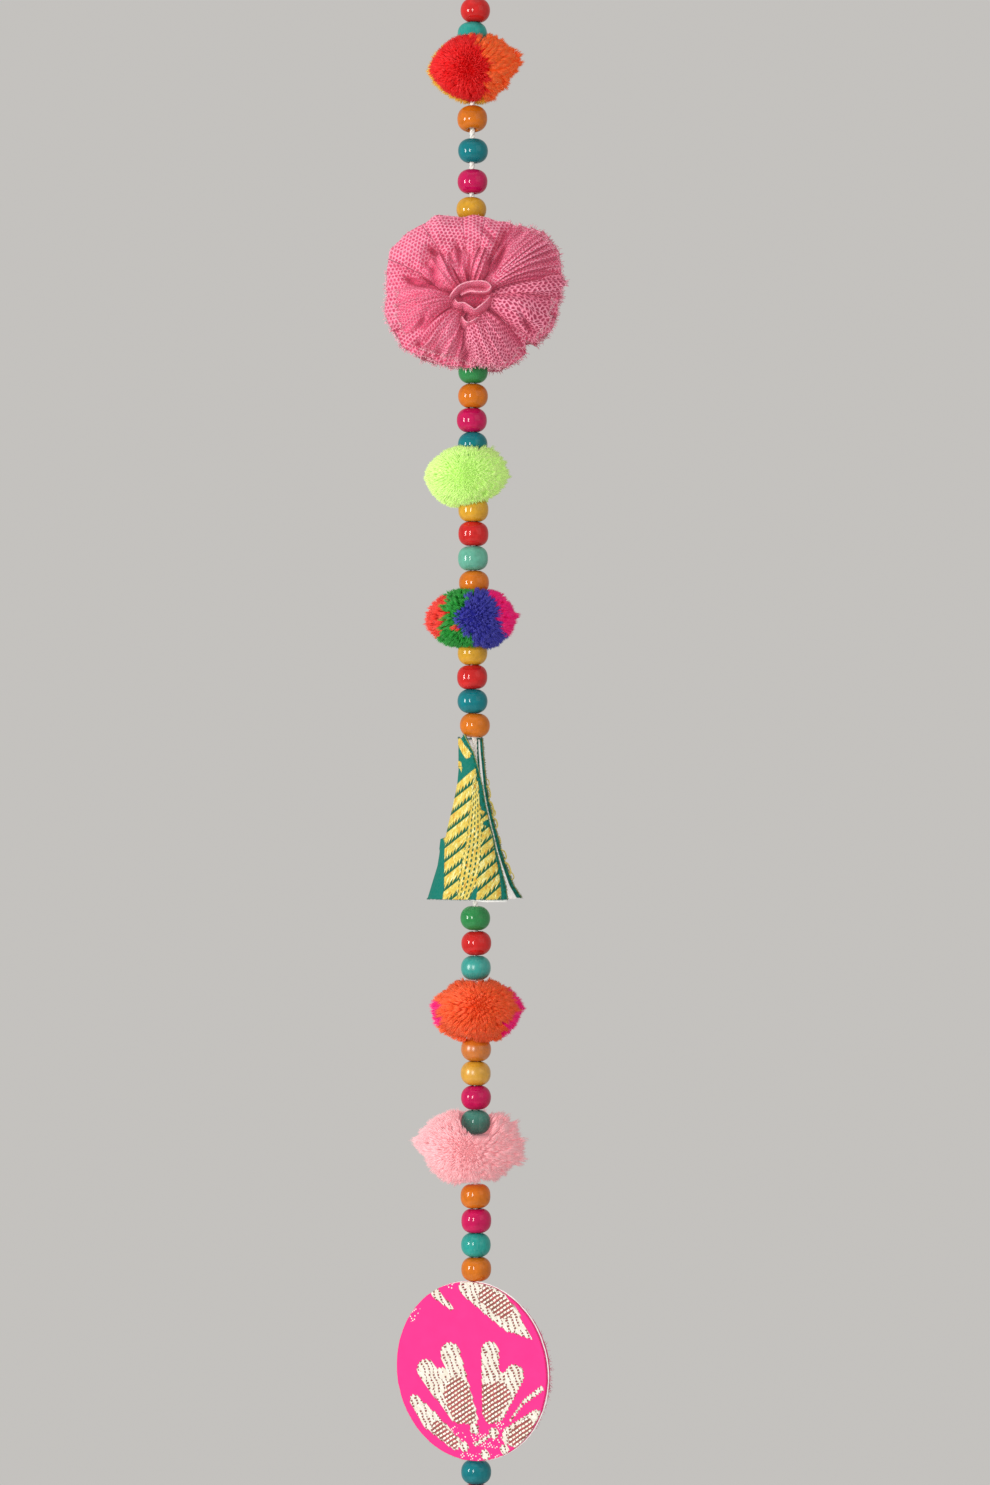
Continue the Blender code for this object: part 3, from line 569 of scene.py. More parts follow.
def tube(route, radius):
    """Points and quads of a six-sided tube along a route, closed at both ends."""
    n, b = across_route(route)
    turn = round_steps(6)[None, :, None]
    points = route[:, None] + radius * (np.cos(turn) * n[:, None] + np.sin(turn) * b[:, None])
    first_cap = [[0, 3, 2, 1], [0, 5, 4, 3]]
    last_cap = (len(route) - 1) * 6 + np.array([[0, 1, 2, 3], [0, 3, 4, 5]])
    return points, np.concatenate([grid_faces(len(route), 6, closed=True), first_cap, last_cap])


def twisted(parts, route):
    """Adds three strands wound round a route, as thick together as the cord."""
    strand = CORD_DIAMETER / 2 / (1 + 2 / math.sqrt(3))
    off = CORD_DIAMETER / 2 - strand
    n, b = across_route(route)
    for k in range(STRANDS):
        turn = (2 * math.pi * (run_along(route) / STRAND_PITCH + k / STRANDS))[:, None]
        parts.add(*tube(route + off * (np.cos(turn) * n + np.sin(turn) * b), strand * STRAND_SWELL))
    return parts


def fibres(rng, root, middle, tip, thick):
    """Fibres as thin spindles: the root, a ring of three points and the tip of each."""
    axis = unit(tip - root)
    u = unit(np.cross(axis, rng.normal(0, 1, axis.shape)))
    v = np.cross(axis, u)
    turns = [2 * math.pi * k / 3 for k in range(3)]
    ring = [middle + thick * (math.cos(a) * u + math.sin(a) * v) for a in turns]
    return np.stack([root, *ring, tip], 1)


def add_fibres(parts, points, finish=0, **numbers):
    first = np.arange(len(points))[:, None] * FIBRE_POINTS
    tris = np.concatenate([first + np.array(side) for side in FIBRE_SIDES])
    return parts.add(points, tris=tris, finish=finish, **numbers)


# Materials


class Wire:
    """An output of a shader node. Arithmetic on wires makes Math nodes in the same tree."""

    def __init__(self, tree, socket):
        self.tree, self.socket = tree, socket

    def apply(self, operation, *others, clamp=False):
        values = enumerate((self, *others))
        return node(self.tree, "Math", values, operation=operation, use_clamp=clamp)

    def __rsub__(self, other):
        return node(self.tree, "Math", enumerate((other, self)), operation="SUBTRACT")

    __add__ = partialmethod(apply, "ADD")
    __sub__ = partialmethod(apply, "SUBTRACT")
    __mul__ = partialmethod(apply, "MULTIPLY")
    __truediv__ = partialmethod(apply, "DIVIDE")


def plug(tree, socket, value):
    if isinstance(value, Wire):
        tree.links.new(value.socket, socket)
    elif isinstance(value, tuple) and socket.type == "RGBA":
        socket.default_value = (*value, 1)
    else:
        socket.default_value = value


def node(tree, kind, inputs=(), output=0, **settings):
    made = tree.nodes.new("ShaderNode" + kind)
    for key, value in settings.items():
        setattr(made, key, value)
    for key, value in dict(inputs).items():
        plug(tree, made.inputs[key], value)
    return Wire(tree, made.outputs[output])


def blend(share, a, b):
    return node(share.tree, "Mix", {"Factor": share, 6: a, 7: b}, 2, data_type="RGBA")


def spread(value, low, high, to_low=0.0, to_high=1.0, kind="LINEAR"):
    inputs = {"Value": value, "From Min": low, "From Max": high, "To Min": to_low, "To Max": to_high}
    return node(value.tree, "MapRange", inputs, interpolation_type=kind)


def noise(place, scale, detail=2.0, rough=0.5):
    inputs = {"Vector": place, "Scale": scale, "Detail": detail, "Roughness": rough}
    return node(place.tree, "TexNoise", inputs, "Fac")


def stretched(place, scale):
    return node(place.tree, "Mapping", {"Vector": place, "Scale": scale})


def combined(x, y):
    return node(x.tree, "CombineXYZ", {"X": x, "Y": y})


def turned_axis(u, v, degrees):
    """The distance along a direction in the plane of u and v."""
    a = math.radians(degrees)
    return u * math.cos(a) + v * math.sin(a)


def ramp_wave(value, period):
    """A triangle wave from 0 to 1 and back over each period."""
    return (value / period).apply("PINGPONG", 0.5) * 2.0


def past_whole(value):
    """How far a value is past the nearest whole number, from -0.5 to 0.5."""
    return (value + 0.5).apply("FRACT") - 0.5


def tone_of(x, y):
    """A random number for each pair of whole numbers, as for each stitch."""
    place = combined(x.apply("FLOOR"), y.apply("FLOOR"))
    return node(x.tree, "TexWhiteNoise", {"Vector": place}, "Value")


class Finish:
    """A new material, with the places and numbers that its nodes start from."""

    def __init__(self, name, roughness, **constants):
        self.made = bpy.data.materials.new(name)
        self.made.use_nodes = True
        self.tree = self.made.node_tree
        for key, value in {"Roughness": roughness, **constants}.items():
            self.set(key.replace("_", " "), value)

    def set(self, key, value):
        plug(self.tree, self.tree.nodes["Principled BSDF"].inputs[key], value)

    def place(self):
        return node(self.tree, "TexCoord", output="Object")

    def number(self, name):
        return node(self.tree, "Attribute", output="Fac", attribute_name=name)

    def cloth(self):
        """Millimetres along the cloth, from the mesh's own map."""
        split = node(self.tree, "SeparateXYZ", {"Vector": node(self.tree, "UVMap", uv_map="cloth")})
        return split, Wire(self.tree, split.socket.node.outputs["Y"])

    def dressed(self, colour, relief=None, strength=0.0, depth=0.0):
        """The material, once it has its colour and, where there is one, its relief."""
        self.set("Base Color", colour)
        if relief:
            inputs = {"Height": relief, "Strength": strength, "Distance": depth}
            self.set("Normal", node(self.tree, "Bump", inputs))
        return self.made


def darker(colour, share):
    return tuple(c * share for c in colour)


def paler(colour, share):
    return tuple(c + (1 - c) * share for c in colour)


def shades(share, colour, dark, pale):
    """A colour between its darker shade and its paler one."""
    return blend(share, darker(colour, dark), paler(colour, pale))


# the colour of the painted shade at the roots of yarn fibres
def root_shade_colour(colour):
    return tuple(0.72 * c**1.5 for c in colour)


def soft_finish(name, colour, glow):
    """Yarn and net: matt, with a little sheen and a painted glow, emission in their own colour that stands in
    for light through from behind.
    """
    return Finish(
        name, 0.9, Specular_IOR_Level=0.1, Sheen_Weight=0.1, Sheen_Tint=paler(colour, 0.3),
        Emission_Color=colour, Emission_Strength=glow,
    )


def paint(name, coat=GLOSS_COAT):
    """Paint and varnish on turned wood, a little uneven, with the grain showing through."""
    colour, grain = PAINTS[name]
    weight, rough, ior = coat
    m = Finish(
        f"paint_{name}", 0.45, Specular_IOR_Level=0.0, Coat_Weight=weight, Coat_Roughness=rough, Coat_IOR=ior
    )
    place = m.place()
    patches = noise(place, 420.0, 3.0, 0.6)
    streaks = noise(stretched(place, (1900.0, 1900.0, 260.0)), 1.0, 3.0, 0.6)
    base = blend(spread(patches, 0.3, 0.7), darker(colour, 0.80), darker(colour, 1.12))
    m.set("Roughness", spread(patches, 0.3, 0.7, 0.24, 0.40))
    painted = blend(spread(streaks, 0.45, 0.72) * grain, base, paler(colour, 0.08))
    return m.dressed(painted, noise(place, 900.0) + streaks * 0.3, 0.25, 0.00025)


def yarn(name):
    """Acrylic yarn ends: each tuft has its own tone, and painted shade makes each fibre darker at its root
    than at its tip.
    """
    colour, glow = YARNS[name]
    m = soft_finish(f"yarn_{name}", colour, glow)
    island = node(m.tree, "NewGeometry", output="Random Per Island")
    base = shades(m.number("tone") * 0.7 + island * 0.3, colour, 0.82, 0.06)
    return m.dressed(blend(spread(m.number("tip"), 0.1, 0.85, 0.9, 0.0), base, root_shade_colour(colour)))


def cotton():
    m = Finish("cotton_white", 0.9, Sheen_Weight=0.2)
    fuzz = noise(m.place(), 2600.0)
    return m.dressed(blend(fuzz, (0.84, 0.81, 0.76), (0.96, 0.94, 0.90)), fuzz, 0.5, 0.0003)


# glow is emission in the thread's own colour: painted light
def plain_thread(name, colour, rough=0.7, glow=0.0):
    m = Finish(name, rough, Sheen_Weight=0.1, Emission_Color=colour, Emission_Strength=glow)
    fuzz = noise(m.place(), 1800.0)
    return m.dressed(shades(fuzz, colour, 0.8, 0.05), fuzz, 0.4, 0.0002)


def net(name, thread, hole_at, see_through):
    """Soft hexagonal net: threads round rows of holes, closer where the mesh's number dense is high."""
    # the net's emission is a painted glow in its own colour
    m = soft_finish(name, thread, 0.10)
    u, v = m.cloth()
    place = m.place()
    fuzz = noise(place, 2400.0, 2.0, 0.6)
    warp = noise(place, 420.0, 1.0)
    u = u + spread(warp, 0.3, 0.7, -0.22, 0.22)
    v = v * 0.82 + spread(warp, 0.3, 0.7, 0.2, -0.2)
    row = NET_PITCH * math.sqrt(3) / 2
    waves = [(turned_axis(u, v, degrees) * (2 * math.pi / row)).apply("COSINE") for degrees in (30, 90, 150)]
    rough = waves[0] + waves[1] + waves[2] + spread(fuzz, 0.2, 0.8, -0.7, 0.7)
    dense = m.number("dense")
    limit = dense * 0.9 + hole_at + spread(noise(place, 150.0), 0.3, 0.7, -0.35, 0.45)
    hole = spread(rough - limit, -0.25, 0.25, kind="SMOOTHSTEP")
    # painted highlight and shade: each thread is paler along its crown and darker towards the holes
    shade = blend(spread(rough, -1.5, 0.2), paler(thread, 0.16), darker(thread, 0.92))
    shade = blend(spread(dense, 0.0, 1.0, 0.0, 0.42), shade, NET_DEEP)
    # painted shade in the valleys of folds, pleats, creases and dents
    shade = blend(spread(m.number("valley"), 0.0, 1.0, 0.0, 0.85), shade, darker(NET_DEEP, 0.72))
    # painted shade in the holes, darker where the net is less dense, in place of the shaded layers behind
    # them
    behind = blend(spread(dense, -0.3, 0.4), darker(NET_DEEP, 0.40), darker(NET_DEEP, 0.85))
    if see_through:
        m.set("Alpha", 1.0 - hole * see_through)
    return m.dressed(blend(hole, shade, behind), spread(rough, -1.4, 0.6, 1.0, 0.0), 0.9, 0.0004)


def net_thread():
    m = Finish("net_thread", 0.85, Sheen_Weight=0.3)
    return m.dressed(shades(noise(m.place(), 900.0), NET_COLOUR, 0.95, 0.45))


def cone_yellow(thread, v, profile):
    """Yellow threads side by side, each changing its tone along its length, with painted shade between them.
    """
    shade = noise(stretched(combined(thread.apply("FLOOR"), v), (7.31, 0.42, 1.0)), 1.0)
    yellow = blend(spread(shade, 0.46, 0.62), CONE_YELLOW, CONE_GOLD)
    yellow = blend(spread(shade, 0.60, 0.71), yellow, CONE_ORANGE)
    yellow = blend(spread(shade, 0.34, 0.46, 1.0, 0.0), yellow, CONE_PALE)
    # painted shade: darkened gold where each thread turns down towards the next
    return blend(spread(profile, 0.0, 0.45, 0.42, 0.0), yellow, darker(CONE_GOLD, 0.42))


def cone_brocade():
    """Teal ground with a yellow leaf: bars of upright threads parted by toothed lines, and a rib."""
    # the faint teal emission is painted glow, lifting the cloth where it lies in shade
    m = Finish(
        "cone_brocade", 0.7, Specular_IOR_Level=0.12, Emission_Color=(0.0, 0.5, 0.38), Emission_Strength=0.05
    )
    u, v = m.cloth()
    place = m.place()
    fuzz = noise(place, 1500.0, 3.0, 0.6)
    thread = u / YARN_PITCH + spread(noise(place, 140.0), 0.3, 0.7, -0.25, 0.25)
    profile = ramp_wave(thread, 1.0)
    twill = ramp_wave(turned_axis(u, v, 50), 0.5)
    teal = blend(twill, darker(CONE_TEAL, 0.76), darker(CONE_TEAL, 1.15))
    teal = blend(spread(fuzz, 0.35, 0.7, 0.0, 0.35), teal, paler(CONE_TEAL, 0.05))
    # the lines that part the bars rise in teeth between the threads
    off = past_whole(m.number("bar")) * BARS_LEFT[2]
    teeth = ramp_wave(thread, 2.2).apply("POWER", 0.75) * -1.55
    line = spread(off - teeth, -0.08, 0.08) * spread(off, 0.38, 0.54, 1.0, 0.0)
    # the rib's strands are parted by rows of dashes
    strand = m.number("strand")
    run = v / 1.75 + strand.apply("ROUND") * 0.37
    gap = spread(past_whole(strand).apply("ABSOLUTE"), 0.13, 0.24, 1.0, 0.0)
    gap = gap * spread(ramp_wave(run, 1.0), 0.35, 0.55)
    rib = spread(m.number("rib"), -0.05, 0.05)
    dark = (line * (1.0 - rib)).apply("ADD", gap * rib, clamp=True)
    leaf = spread(m.number("leaf") + (profile - 0.5) * 0.28, -0.06, 0.06)
    inside = blend(dark, cone_yellow(thread, v, profile), blend(fuzz, CONE_LINE, darker(CONE_LINE, 0.6)))
    # towards its cut edges the cloth is speckled with the ends of its dark threads
    hem = m.number("hem")
    specks = spread(hem, 1.0, 1.35, 1.0, 0.0) * spread(noise(place, 1050.0, 1.0), 0.44, 0.54)
    ground = blend(specks, teal, blend(fuzz, CONE_LINE, darker(CONE_LINE, 0.4)))
    ground = blend(spread(hem, 0.12, 0.30, 0.55, 0.0), ground, CONE_GOLD)
    relief = leaf * (1.0 - dark) * (profile * 0.7 + 0.3) + twill * 0.25 + fuzz * 0.3
    return m.dressed(blend(leaf, ground, inside), relief, 0.9, 0.00028)


def thick_cream(u, v, bent, fuzz, thread, fine):
    """The disc's thick cream threads, tied down along steep dotted lines, with painted shade between them;
    also where those lines are.
    """
    across = turned_axis(u, v, 22) / DISC_THREAD + bent
    along = turned_axis(u, v, -68) / 0.95 + across.apply("ROUND") * 0.43
    gap = spread(past_whole(across).apply("ABSOLUTE"), 0.15, 0.23, 1.0, 0.0)
    gap = gap * spread(ramp_wave(along, 1.0), 0.28, 0.42) * spread(tone_of(along, across), 0.22, 0.24)
    cream = shades(tone_of(thread, v / 1.7), DISC_CREAM, 0.86, 0.45)
    # painted shade: darkened cream where each thread turns down towards the next
    cream = blend(spread(fine, 0.0, 0.40, 0.38, 0.0), cream, darker(DISC_CREAM, 0.42))
    return blend(gap, cream, blend(fuzz, DISC_ROSE, DISC_BROWN)), gap


def hatched_cream(u, v, bent):
    """The disc's fine cream stitches on brown; also where the stitches are."""
    row = turned_axis(u, v, 122) / 1.35 + bent * 0.4
    cross = turned_axis(u, v, 32) / 1.5 + row.apply("FLOOR") * 0.5
    white = spread(ramp_wave(row, 1.0), 0.44, 0.60) * spread(ramp_wave(cross, 1.0), 0.10, 0.32)
    cream = shades(tone_of(cross, row), DISC_CREAM, 0.80, 0.3)
    return blend(white, blend(tone_of(row, cross), DISC_BROWN, DISC_ROSE), cream), white


def strewn_stitches(m, u, v):
    """Where single stitches are strewn between the dots."""
    a, b = (turned_axis(u, v, degrees) / 0.82 for degrees in (35, 125))
    spot = spread(ramp_wave(a, 1.0) * ramp_wave(b, 1.0), 0.30, 0.42)
    return spot * spread(tone_of(a, b), 0.50, 0.52) * spread(m.number("strewn"), -0.1, 0.1)


def disc_brocade():
    """Pink satin with cream motifs: thick slanting threads above, fine hatched ones below."""
    m = Finish("disc_brocade", 0.6, Specular_IOR_Level=0.2, Sheen_Weight=0.05)
    u, v = m.cloth()
    place = m.place()
    fuzz = noise(place, 1600.0, 3.0, 0.6)
    bent = spread(noise(place, 210.0, 3.0, 0.6), 0.3, 0.7, -0.36, 0.36)
    weave = ramp_wave(u, 0.32) * ramp_wave(v, 0.32)
    satin = shades(noise(place, 190.0, 3.0), DISC_PINK, 0.90, 0.01)
    satin = blend(weave * 0.18, satin, darker(DISC_PINK, 0.75))
    thread = turned_axis(u, v, 38) / 0.52
    fine = ramp_wave(thread, 1.0)
    stair = ramp_wave(turned_axis(u, v, 38), 1.3)
    thick, gap = thick_cream(u, v, bent, fuzz, thread, fine)
    thin, white = hatched_cream(u, v, bent)
    hatch = spread(m.number("hatch") + stair * 0.5, 0.15, 0.35)
    motif = m.number("motif") + (stair - 0.6) * 0.6
    rim = spread(motif, -0.14, -0.04) * spread(motif, 0.04, 0.16, 1.0, 0.0)
    inside = spread(motif, -0.04, 0.04)
    colour = blend(inside, satin, blend(hatch, thick, thin))
    colour = blend(rim * 0.6, colour, darker(DISC_BROWN, 0.8))
    colour = blend(strewn_stitches(m, u, v) * 0.85, colour, DISC_CREAM)
    relief = blend(hatch, fine + 0.4 - gap, white) * inside * 0.8 + weave * 0.08 + fuzz * 0.12
    return m.dressed(colour, relief, 0.9, 0.00028)


# Camera, light and floor


def make_camera():
    data = bpy.data.cameras.new("photo_camera")
    data.sensor_fit = "VERTICAL"
    data.sensor_height = SENSOR_HEIGHT
    data.lens = SENSOR_HEIGHT * abs(CAMERA_AT[1]) / FRAME_HEIGHT
    camera = placed("photo_camera", data)
    camera.location = CAMERA_AT
    camera.rotation_euler = (math.pi / 2, 0, 0)
    bpy.context.scene.camera = camera


def look_at(obj, target):
    back = unit(np.array(obj.location) - np.array(target))
    right = unit(np.cross((0.0, 0.0, 1.0), back))
    obj.rotation_euler = Matrix(np.stack([right, np.cross(back, right), back], 1).tolist()).to_euler()


def make_lights():
    for name, place, width, tall, watts, colour in LIGHTS:
        data = bpy.data.lights.new(name, "AREA")
        data.shape = "RECTANGLE"
        data.size, data.size_y = width, tall
        data.energy, data.color = watts, colour
        lamp = placed(name, data)
        lamp.location = place
        look_at(lamp, LIGHTS_LOOK_AT)
    world = bpy.data.worlds.new("studio")
    world.use_nodes = True
    back = world.node_tree.nodes["Background"]
    back.inputs["Color"].default_value = (*SKY, 1)
    back.inputs["Strength"].default_value = SKY_STRENGTH
    bpy.context.scene.world = world
    bpy.context.scene.view_settings.view_transform = "Standard"


def make_floor():
    turn = round_steps(FLOOR_STEPS)
    rim = [(FLOOR_RADIUS * math.cos(a), FLOOR_RADIUS * math.sin(a), FLOOR_Z) for a in turn]
    mesh = bpy.data.meshes.new("floor")
    mesh.from_pydata(rim, [], [list(range(FLOOR_STEPS))])
    m = Finish("floor_pale", 0.8)
    mesh.materials.append(m.dressed(blend(noise(m.place(), 9.0, 3.0), *FLOOR_COLOURS)))
    placed("floor", mesh)


# Cord


def wound_knot(x, z, sense):
    """A tight knot: the cord wraps itself twice between where it enters and leaves."""
    t = np.linspace(0, 1, 60)[:, None]
    turn = sense * 2 * math.pi * KNOT_TURNS * t + 0.6
    out = 1.05 + 0.55 * np.sin(math.pi * t)
    route = np.concatenate([out * np.cos(turn), out * np.sin(turn), 1.75 * np.cos(math.pi * t)], 1)
    ends = [[0, 0, KNOT_HALF_HEIGHT]], [[0, 0, -KNOT_HALF_HEIGHT]]
    return smooth_route(np.concatenate([ends[0], route[3:-3:3], ends[1]]) + (x, 0.0, z), KNOT_STEP)


def make_cord():
    white = cotton()
    route = smooth_route([(x, 0.0, height(drop)) for drop, x in CORD_ROUTE], CORD_STEP)
    cord = piece("stringing_cord_twisted", "stringing_cord", [white], twisted(Parts(), route))
    loop = smooth_route([(x, 0.0, z) for x, z in LOOP_ROUTE], CORD_STEP)
    loop = twisted(twisted(Parts(), loop), wound_knot(TOP_KNOT[0], TOP_KNOT[1], 1))
    hanging = piece("hanging_loop_twisted", "hanging_loop", [white], loop)
    tail = smooth_route([(x, 0.0, height(drop)) for x, drop in TAIL_ROUTE], CORD_STEP)
    tail = twisted(twisted(Parts(), tail), wound_knot(END_KNOT[0], height(END_KNOT[1]), -1))
    end = piece("end_knot_twisted", "end_knot", [white], tail)


# Beads


def bead_parts(rng, lean_front, lean_right, middle):
    """A turned bead, a little uneven: rings from the top of the hole over the side and back inside."""
    deg = np.radians(np.linspace(76, -76, BEAD_PROFILE_STEPS))
    roundness = rng.uniform(0.84, 0.96)
    out = np.maximum(BEAD_RADIUS * np.cos(deg) ** (roundness - 0.14), BEAD_HOLE_RADIUS + 0.25)
    up = np.sign(deg) * np.abs(np.sin(deg)) ** roundness * BEAD_CURVE_HEIGHT / 2
    z = np.append(np.clip(up, -BEAD_HEIGHT / 2, BEAD_HEIGHT / 2), np.array([-0.36, 0, 0.36]) * BEAD_HEIGHT)
    turn = round_steps(BEAD_STEPS)
    phase, shape = rng.uniform(0, 2 * math.pi), rng.uniform(0.0, 0.018)
    r = np.append(out, np.full(3, BEAD_HOLE_RADIUS))[:, None] * (1 + shape * np.cos(2 * turn + phase))
    tilt = rng.uniform(-0.02, 0.02, 2)
    x, y = r * np.cos(turn), r * np.sin(turn)
    points = np.stack([x, y, z[:, None] + (tilt[0] * x + tilt[1] * y)], -1).reshape(-1, 3)
    faces = grid_faces(len(z) + 1, BEAD_STEPS, closed=True) % (len(z) * BEAD_STEPS)
    return Parts().add(turned_by(points, -lean_front, lean_right) + middle, faces[:, ::-1])


def turned_by(points, about_x, about_y):
    a, b = math.radians(about_x), math.radians(about_y)
    x_turn = np.array([[1, 0, 0], [0, math.cos(a), -math.sin(a)], [0, math.sin(a), math.cos(a)]])
    y_turn = np.array([[math.cos(b), 0, math.sin(b)], [0, 1, 0], [-math.sin(b), 0, math.cos(b)]])
    return points @ (y_turn @ x_turn).T


def make_beads():
    paints = {name: paint(name) for name in PAINTS}
    satin = {number: paint(BEADS[number - 1][0], SATIN_COAT) for number in SATIN_BEADS}
    for number, (colour, drop, x, lean_front, lean_right) in enumerate(BEADS, 1):
        rng = np.random.default_rng(100 + number)
        parts = bead_parts(rng, lean_front, lean_right, (x, 0, height(drop)))
        finish = satin.get(number, paints[colour])
        piece(f"painted_bead_{number:02d}", f"bead_{number:02d}_{colour}", [finish], parts)


# Pompoms


def surface(name, d):
    """Points of a pompom's outer form in the directions d, from its middle."""
    angle, radius = np.array(OUTLINES[name]).T
    flat = np.hypot(d[:, 0], d[:, 1])
    up = np.degrees(np.arctan2(d[:, 2], flat))
    to_right = np.interp(up % 360, angle, radius, period=360)
    to_left = np.interp((180 - up) % 360, angle, radius, period=360)
    share = 0.5 * (1 + d[:, 0] / np.maximum(flat, 1e-6))
    return d * (to_right * share + to_left * (1 - share))[:, None]


def wobble(d, seed, size):
    """A smooth uneven number for each direction, about -1 to 1."""
    rng = np.random.default_rng(seed)
    total = np.zeros(len(d))
    for _ in range(5):
        w = rng.normal(0, size, 3)
        total += np.sin(d @ w + rng.uniform(0, 2 * math.pi))
    return total / 2.4


def zone_red_orange(p, d):
    edge = read(ORANGE_EDGE, p[:, 2]) + 1.3 * wobble(d, 3, 13)
    behind = p[:, 1] > np.where(p[:, 0] > 4, 4, -0.2) + 0.8 * wobble(d, 4, 8)
    return np.where(behind, np.where(p[:, 0] > 8, 1, 2), np.where(p[:, 0] > edge, 1, 0))


def zone_lime(p, d):
    return np.where(p[:, 0] > 3.5 + 1.2 * wobble(d, 5, 8), 1, 0)


def zone_four(p, d):
    x = p[:, 0] + 0.9 * wobble(d, 6, 10) * (p[:, 1] < 4)
    z = p[:, 2]
    zone = np.full(len(p), 2)
    zone[x < read(GREEN_EDGE, z)] = 1
    zone[x < -11.1 + 0.12 * z] = 0
    zone[x > read(MAGENTA_EDGE, z)] = 3
    zone[(np.hypot(x + 5.7, z + 3.9) < 1.0) & (p[:, 1] < 0)] = 0
    return zone


def zone_orange(p, d):
    uneven_edge = 1.2 * wobble(d, 8, 12)
    left = (p[:, 0] < -14.2 + 0.5 * uneven_edge) & (np.abs(p[:, 2] + 0.8) < 4.2)
    right = p[:, 0] > read(RIM_EDGE, p[:, 2]) + 0.4 * uneven_edge
    return np.where(left | right | (p[:, 1] > 9 + 2 * uneven_edge), 1, 0)


def zone_pink(p, d):
    return np.where(p[:, 0] > 2.0 + 2.0 * wobble(d, 9, 7), 1, 0)


# each pompom: its zone function, the direction that its strands fan out from, and for each zone yarn,
# tuft pitch, tuft spread, strands in a tuft, jitter of their length, how much they slant, extra reach
POMPOM_ZONES = {
    "pompom_red_orange": (zone_red_orange, (-0.30, -0.94, -0.15), (
        ("scarlet", 1.30, 1.00, 9, 0.014, 0.16, 1.0),
        ("orange", 2.10, 0.76, 17, 0.035, 0.34, 1.0),
        ("yellow", 1.70, 0.90, 13, 0.020, 0.16, 1.035),
    )),
    "pompom_lime": (zone_lime, (0.05, -1.0, 0.05), (
        ("lime", 1.25, 1.00, 8, 0.012, 0.10, 1.0),
        ("lime", 1.60, 0.64, 12, 0.030, 0.25, 1.0),
    )),
    "pompom_four_colours": (zone_four, (0.10, -0.99, 0.05), tuple(
        (colour, 1.75, 0.76, 14, 0.030, 0.22, 1.0) for colour in ("red", "green", "violet", "magenta")
    )),
    "pompom_orange": (zone_orange, (0.05, -0.96, 0.27), (
        ("flame", 1.95, 0.82, 18, 0.026, 0.40, 1.0),
        ("magenta", 1.95, 0.82, 16, 0.030, 0.30, 1.0),
    )),
    "pompom_pale_pink": (zone_pink, (0.0, -1.0, -0.05), (
        ("pink", 1.50, 1.05, 12, 0.035, 0.16, 1.0),
        ("pink", 2.10, 0.84, 17, 0.050, 0.30, 1.0),
    )),
}


def spiral(count, rng):
    """Directions spread evenly over a ball, a little uneven."""
    k = np.arange(count) + 0.5
    z = 1 - 2 * k / count
    flat = np.sqrt(1 - z**2)
    d = np.stack([flat * np.cos(k * GOLDEN), flat * np.sin(k * GOLDEN), z], -1)
    return unit(d + rng.normal(0, 0.35 / math.sqrt(count), d.shape))


def tufts(rng, name, d, pole, spread_mm, per_tuft, jitter, slant, further):
    """The fibres of a tuft at each direction, with each one's tone; a tuft's end is a soft dome."""
    count = len(d)
    d = np.repeat(d, per_tuft, 0)
    column = (len(d), 1)
    reach = np.linalg.norm(surface(name, d), axis=1, keepdims=True)
    lean = rng.normal(0, 1, d.shape)
    lean = unit(lean - d * (lean * d).sum(1, keepdims=True))
    out = np.sqrt(rng.uniform(0, 1, column))
    lean = lean * out * spread_mm / reach
    tuft_long = np.repeat(rng.normal(0, jitter, count), per_tuft)[:, None]
    long = 1 + tuft_long - 0.045 * out**2 * spread_mm + rng.normal(0, jitter * 0.35, column)
    tip = surface(name, unit(d + lean)) * long * further
    facing = np.clip(3 * d @ np.array(pole), -1, 1)[:, None]
    root = surface(name, unit(d + slant * facing * np.array(pole) + 0.6 * lean)) * TUFT_ROOT
    middle = root * 0.48 + tip * 0.52 + rng.normal(0, 0.08, tip.shape)
    middle += (unit(middle) * reach * 0.94 - middle) * 0.25
    tone = np.repeat(rng.uniform(0, 1, count), per_tuft)
    return fibres(rng, root, middle, tip, FIBRE_RADIUS * rng.uniform(0.8, 1.35, column)), tone


def hides_bead(name, strands, above, below):
    """Which strands run into the bead above or below, or in front of it where the photo shows it."""
    tip, middle = strands[:, 4], strands[:, 1]
    hides = np.zeros(len(strands), bool)
    for x, z in (above, below):
        near = np.hypot(tip[:, 0] - x, tip[:, 1]) < BEAD_CLEAR[0]
        hides |= near & (np.abs(tip[:, 2] - z) < BEAD_CLEAR[1])
    if name == "pompom_pale_pink":
        x, z = above
        for p in (tip, middle):
            off = p[:, 0] - x
            seen = (np.abs(off) < SIGHT_HALF_WIDTH) & (p[:, 1] < SIGHT_DEPTH)
            hides |= seen & (p[:, 2] - z > read(SIGHT_OF_BEAD, off))
    return hides


def add_core(parts, name, seed, centre, zone_of, above, below):
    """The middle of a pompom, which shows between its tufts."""
    up, turn = grid(np.linspace(math.pi / 2, -math.pi / 2, CORE_ROWS), round_steps(CORE_COLUMNS))
    d = np.stack([np.cos(up) * np.cos(turn), np.cos(up) * np.sin(turn), np.sin(up)], -1).reshape(-1, 3)
    core = surface(name, d) * (CORE_SHARE + 0.03 * wobble(d, seed, 14))[:, None]
    core[:, 2] = np.clip(core[:, 2], below[1] - centre[2] + CORE_CLEAR, above[1] - centre[2] - CORE_CLEAR)
    quads = grid_faces(CORE_ROWS, CORE_COLUMNS, closed=True)[:, ::-1]
    zone = zone_of(core / CORE_SHARE, d)[quads[:, 0]]
    # the core takes nearly all of the yarn's painted root shade
    parts.add(core + centre, quads, finish=zone, tone=0.2, tip=0.1)


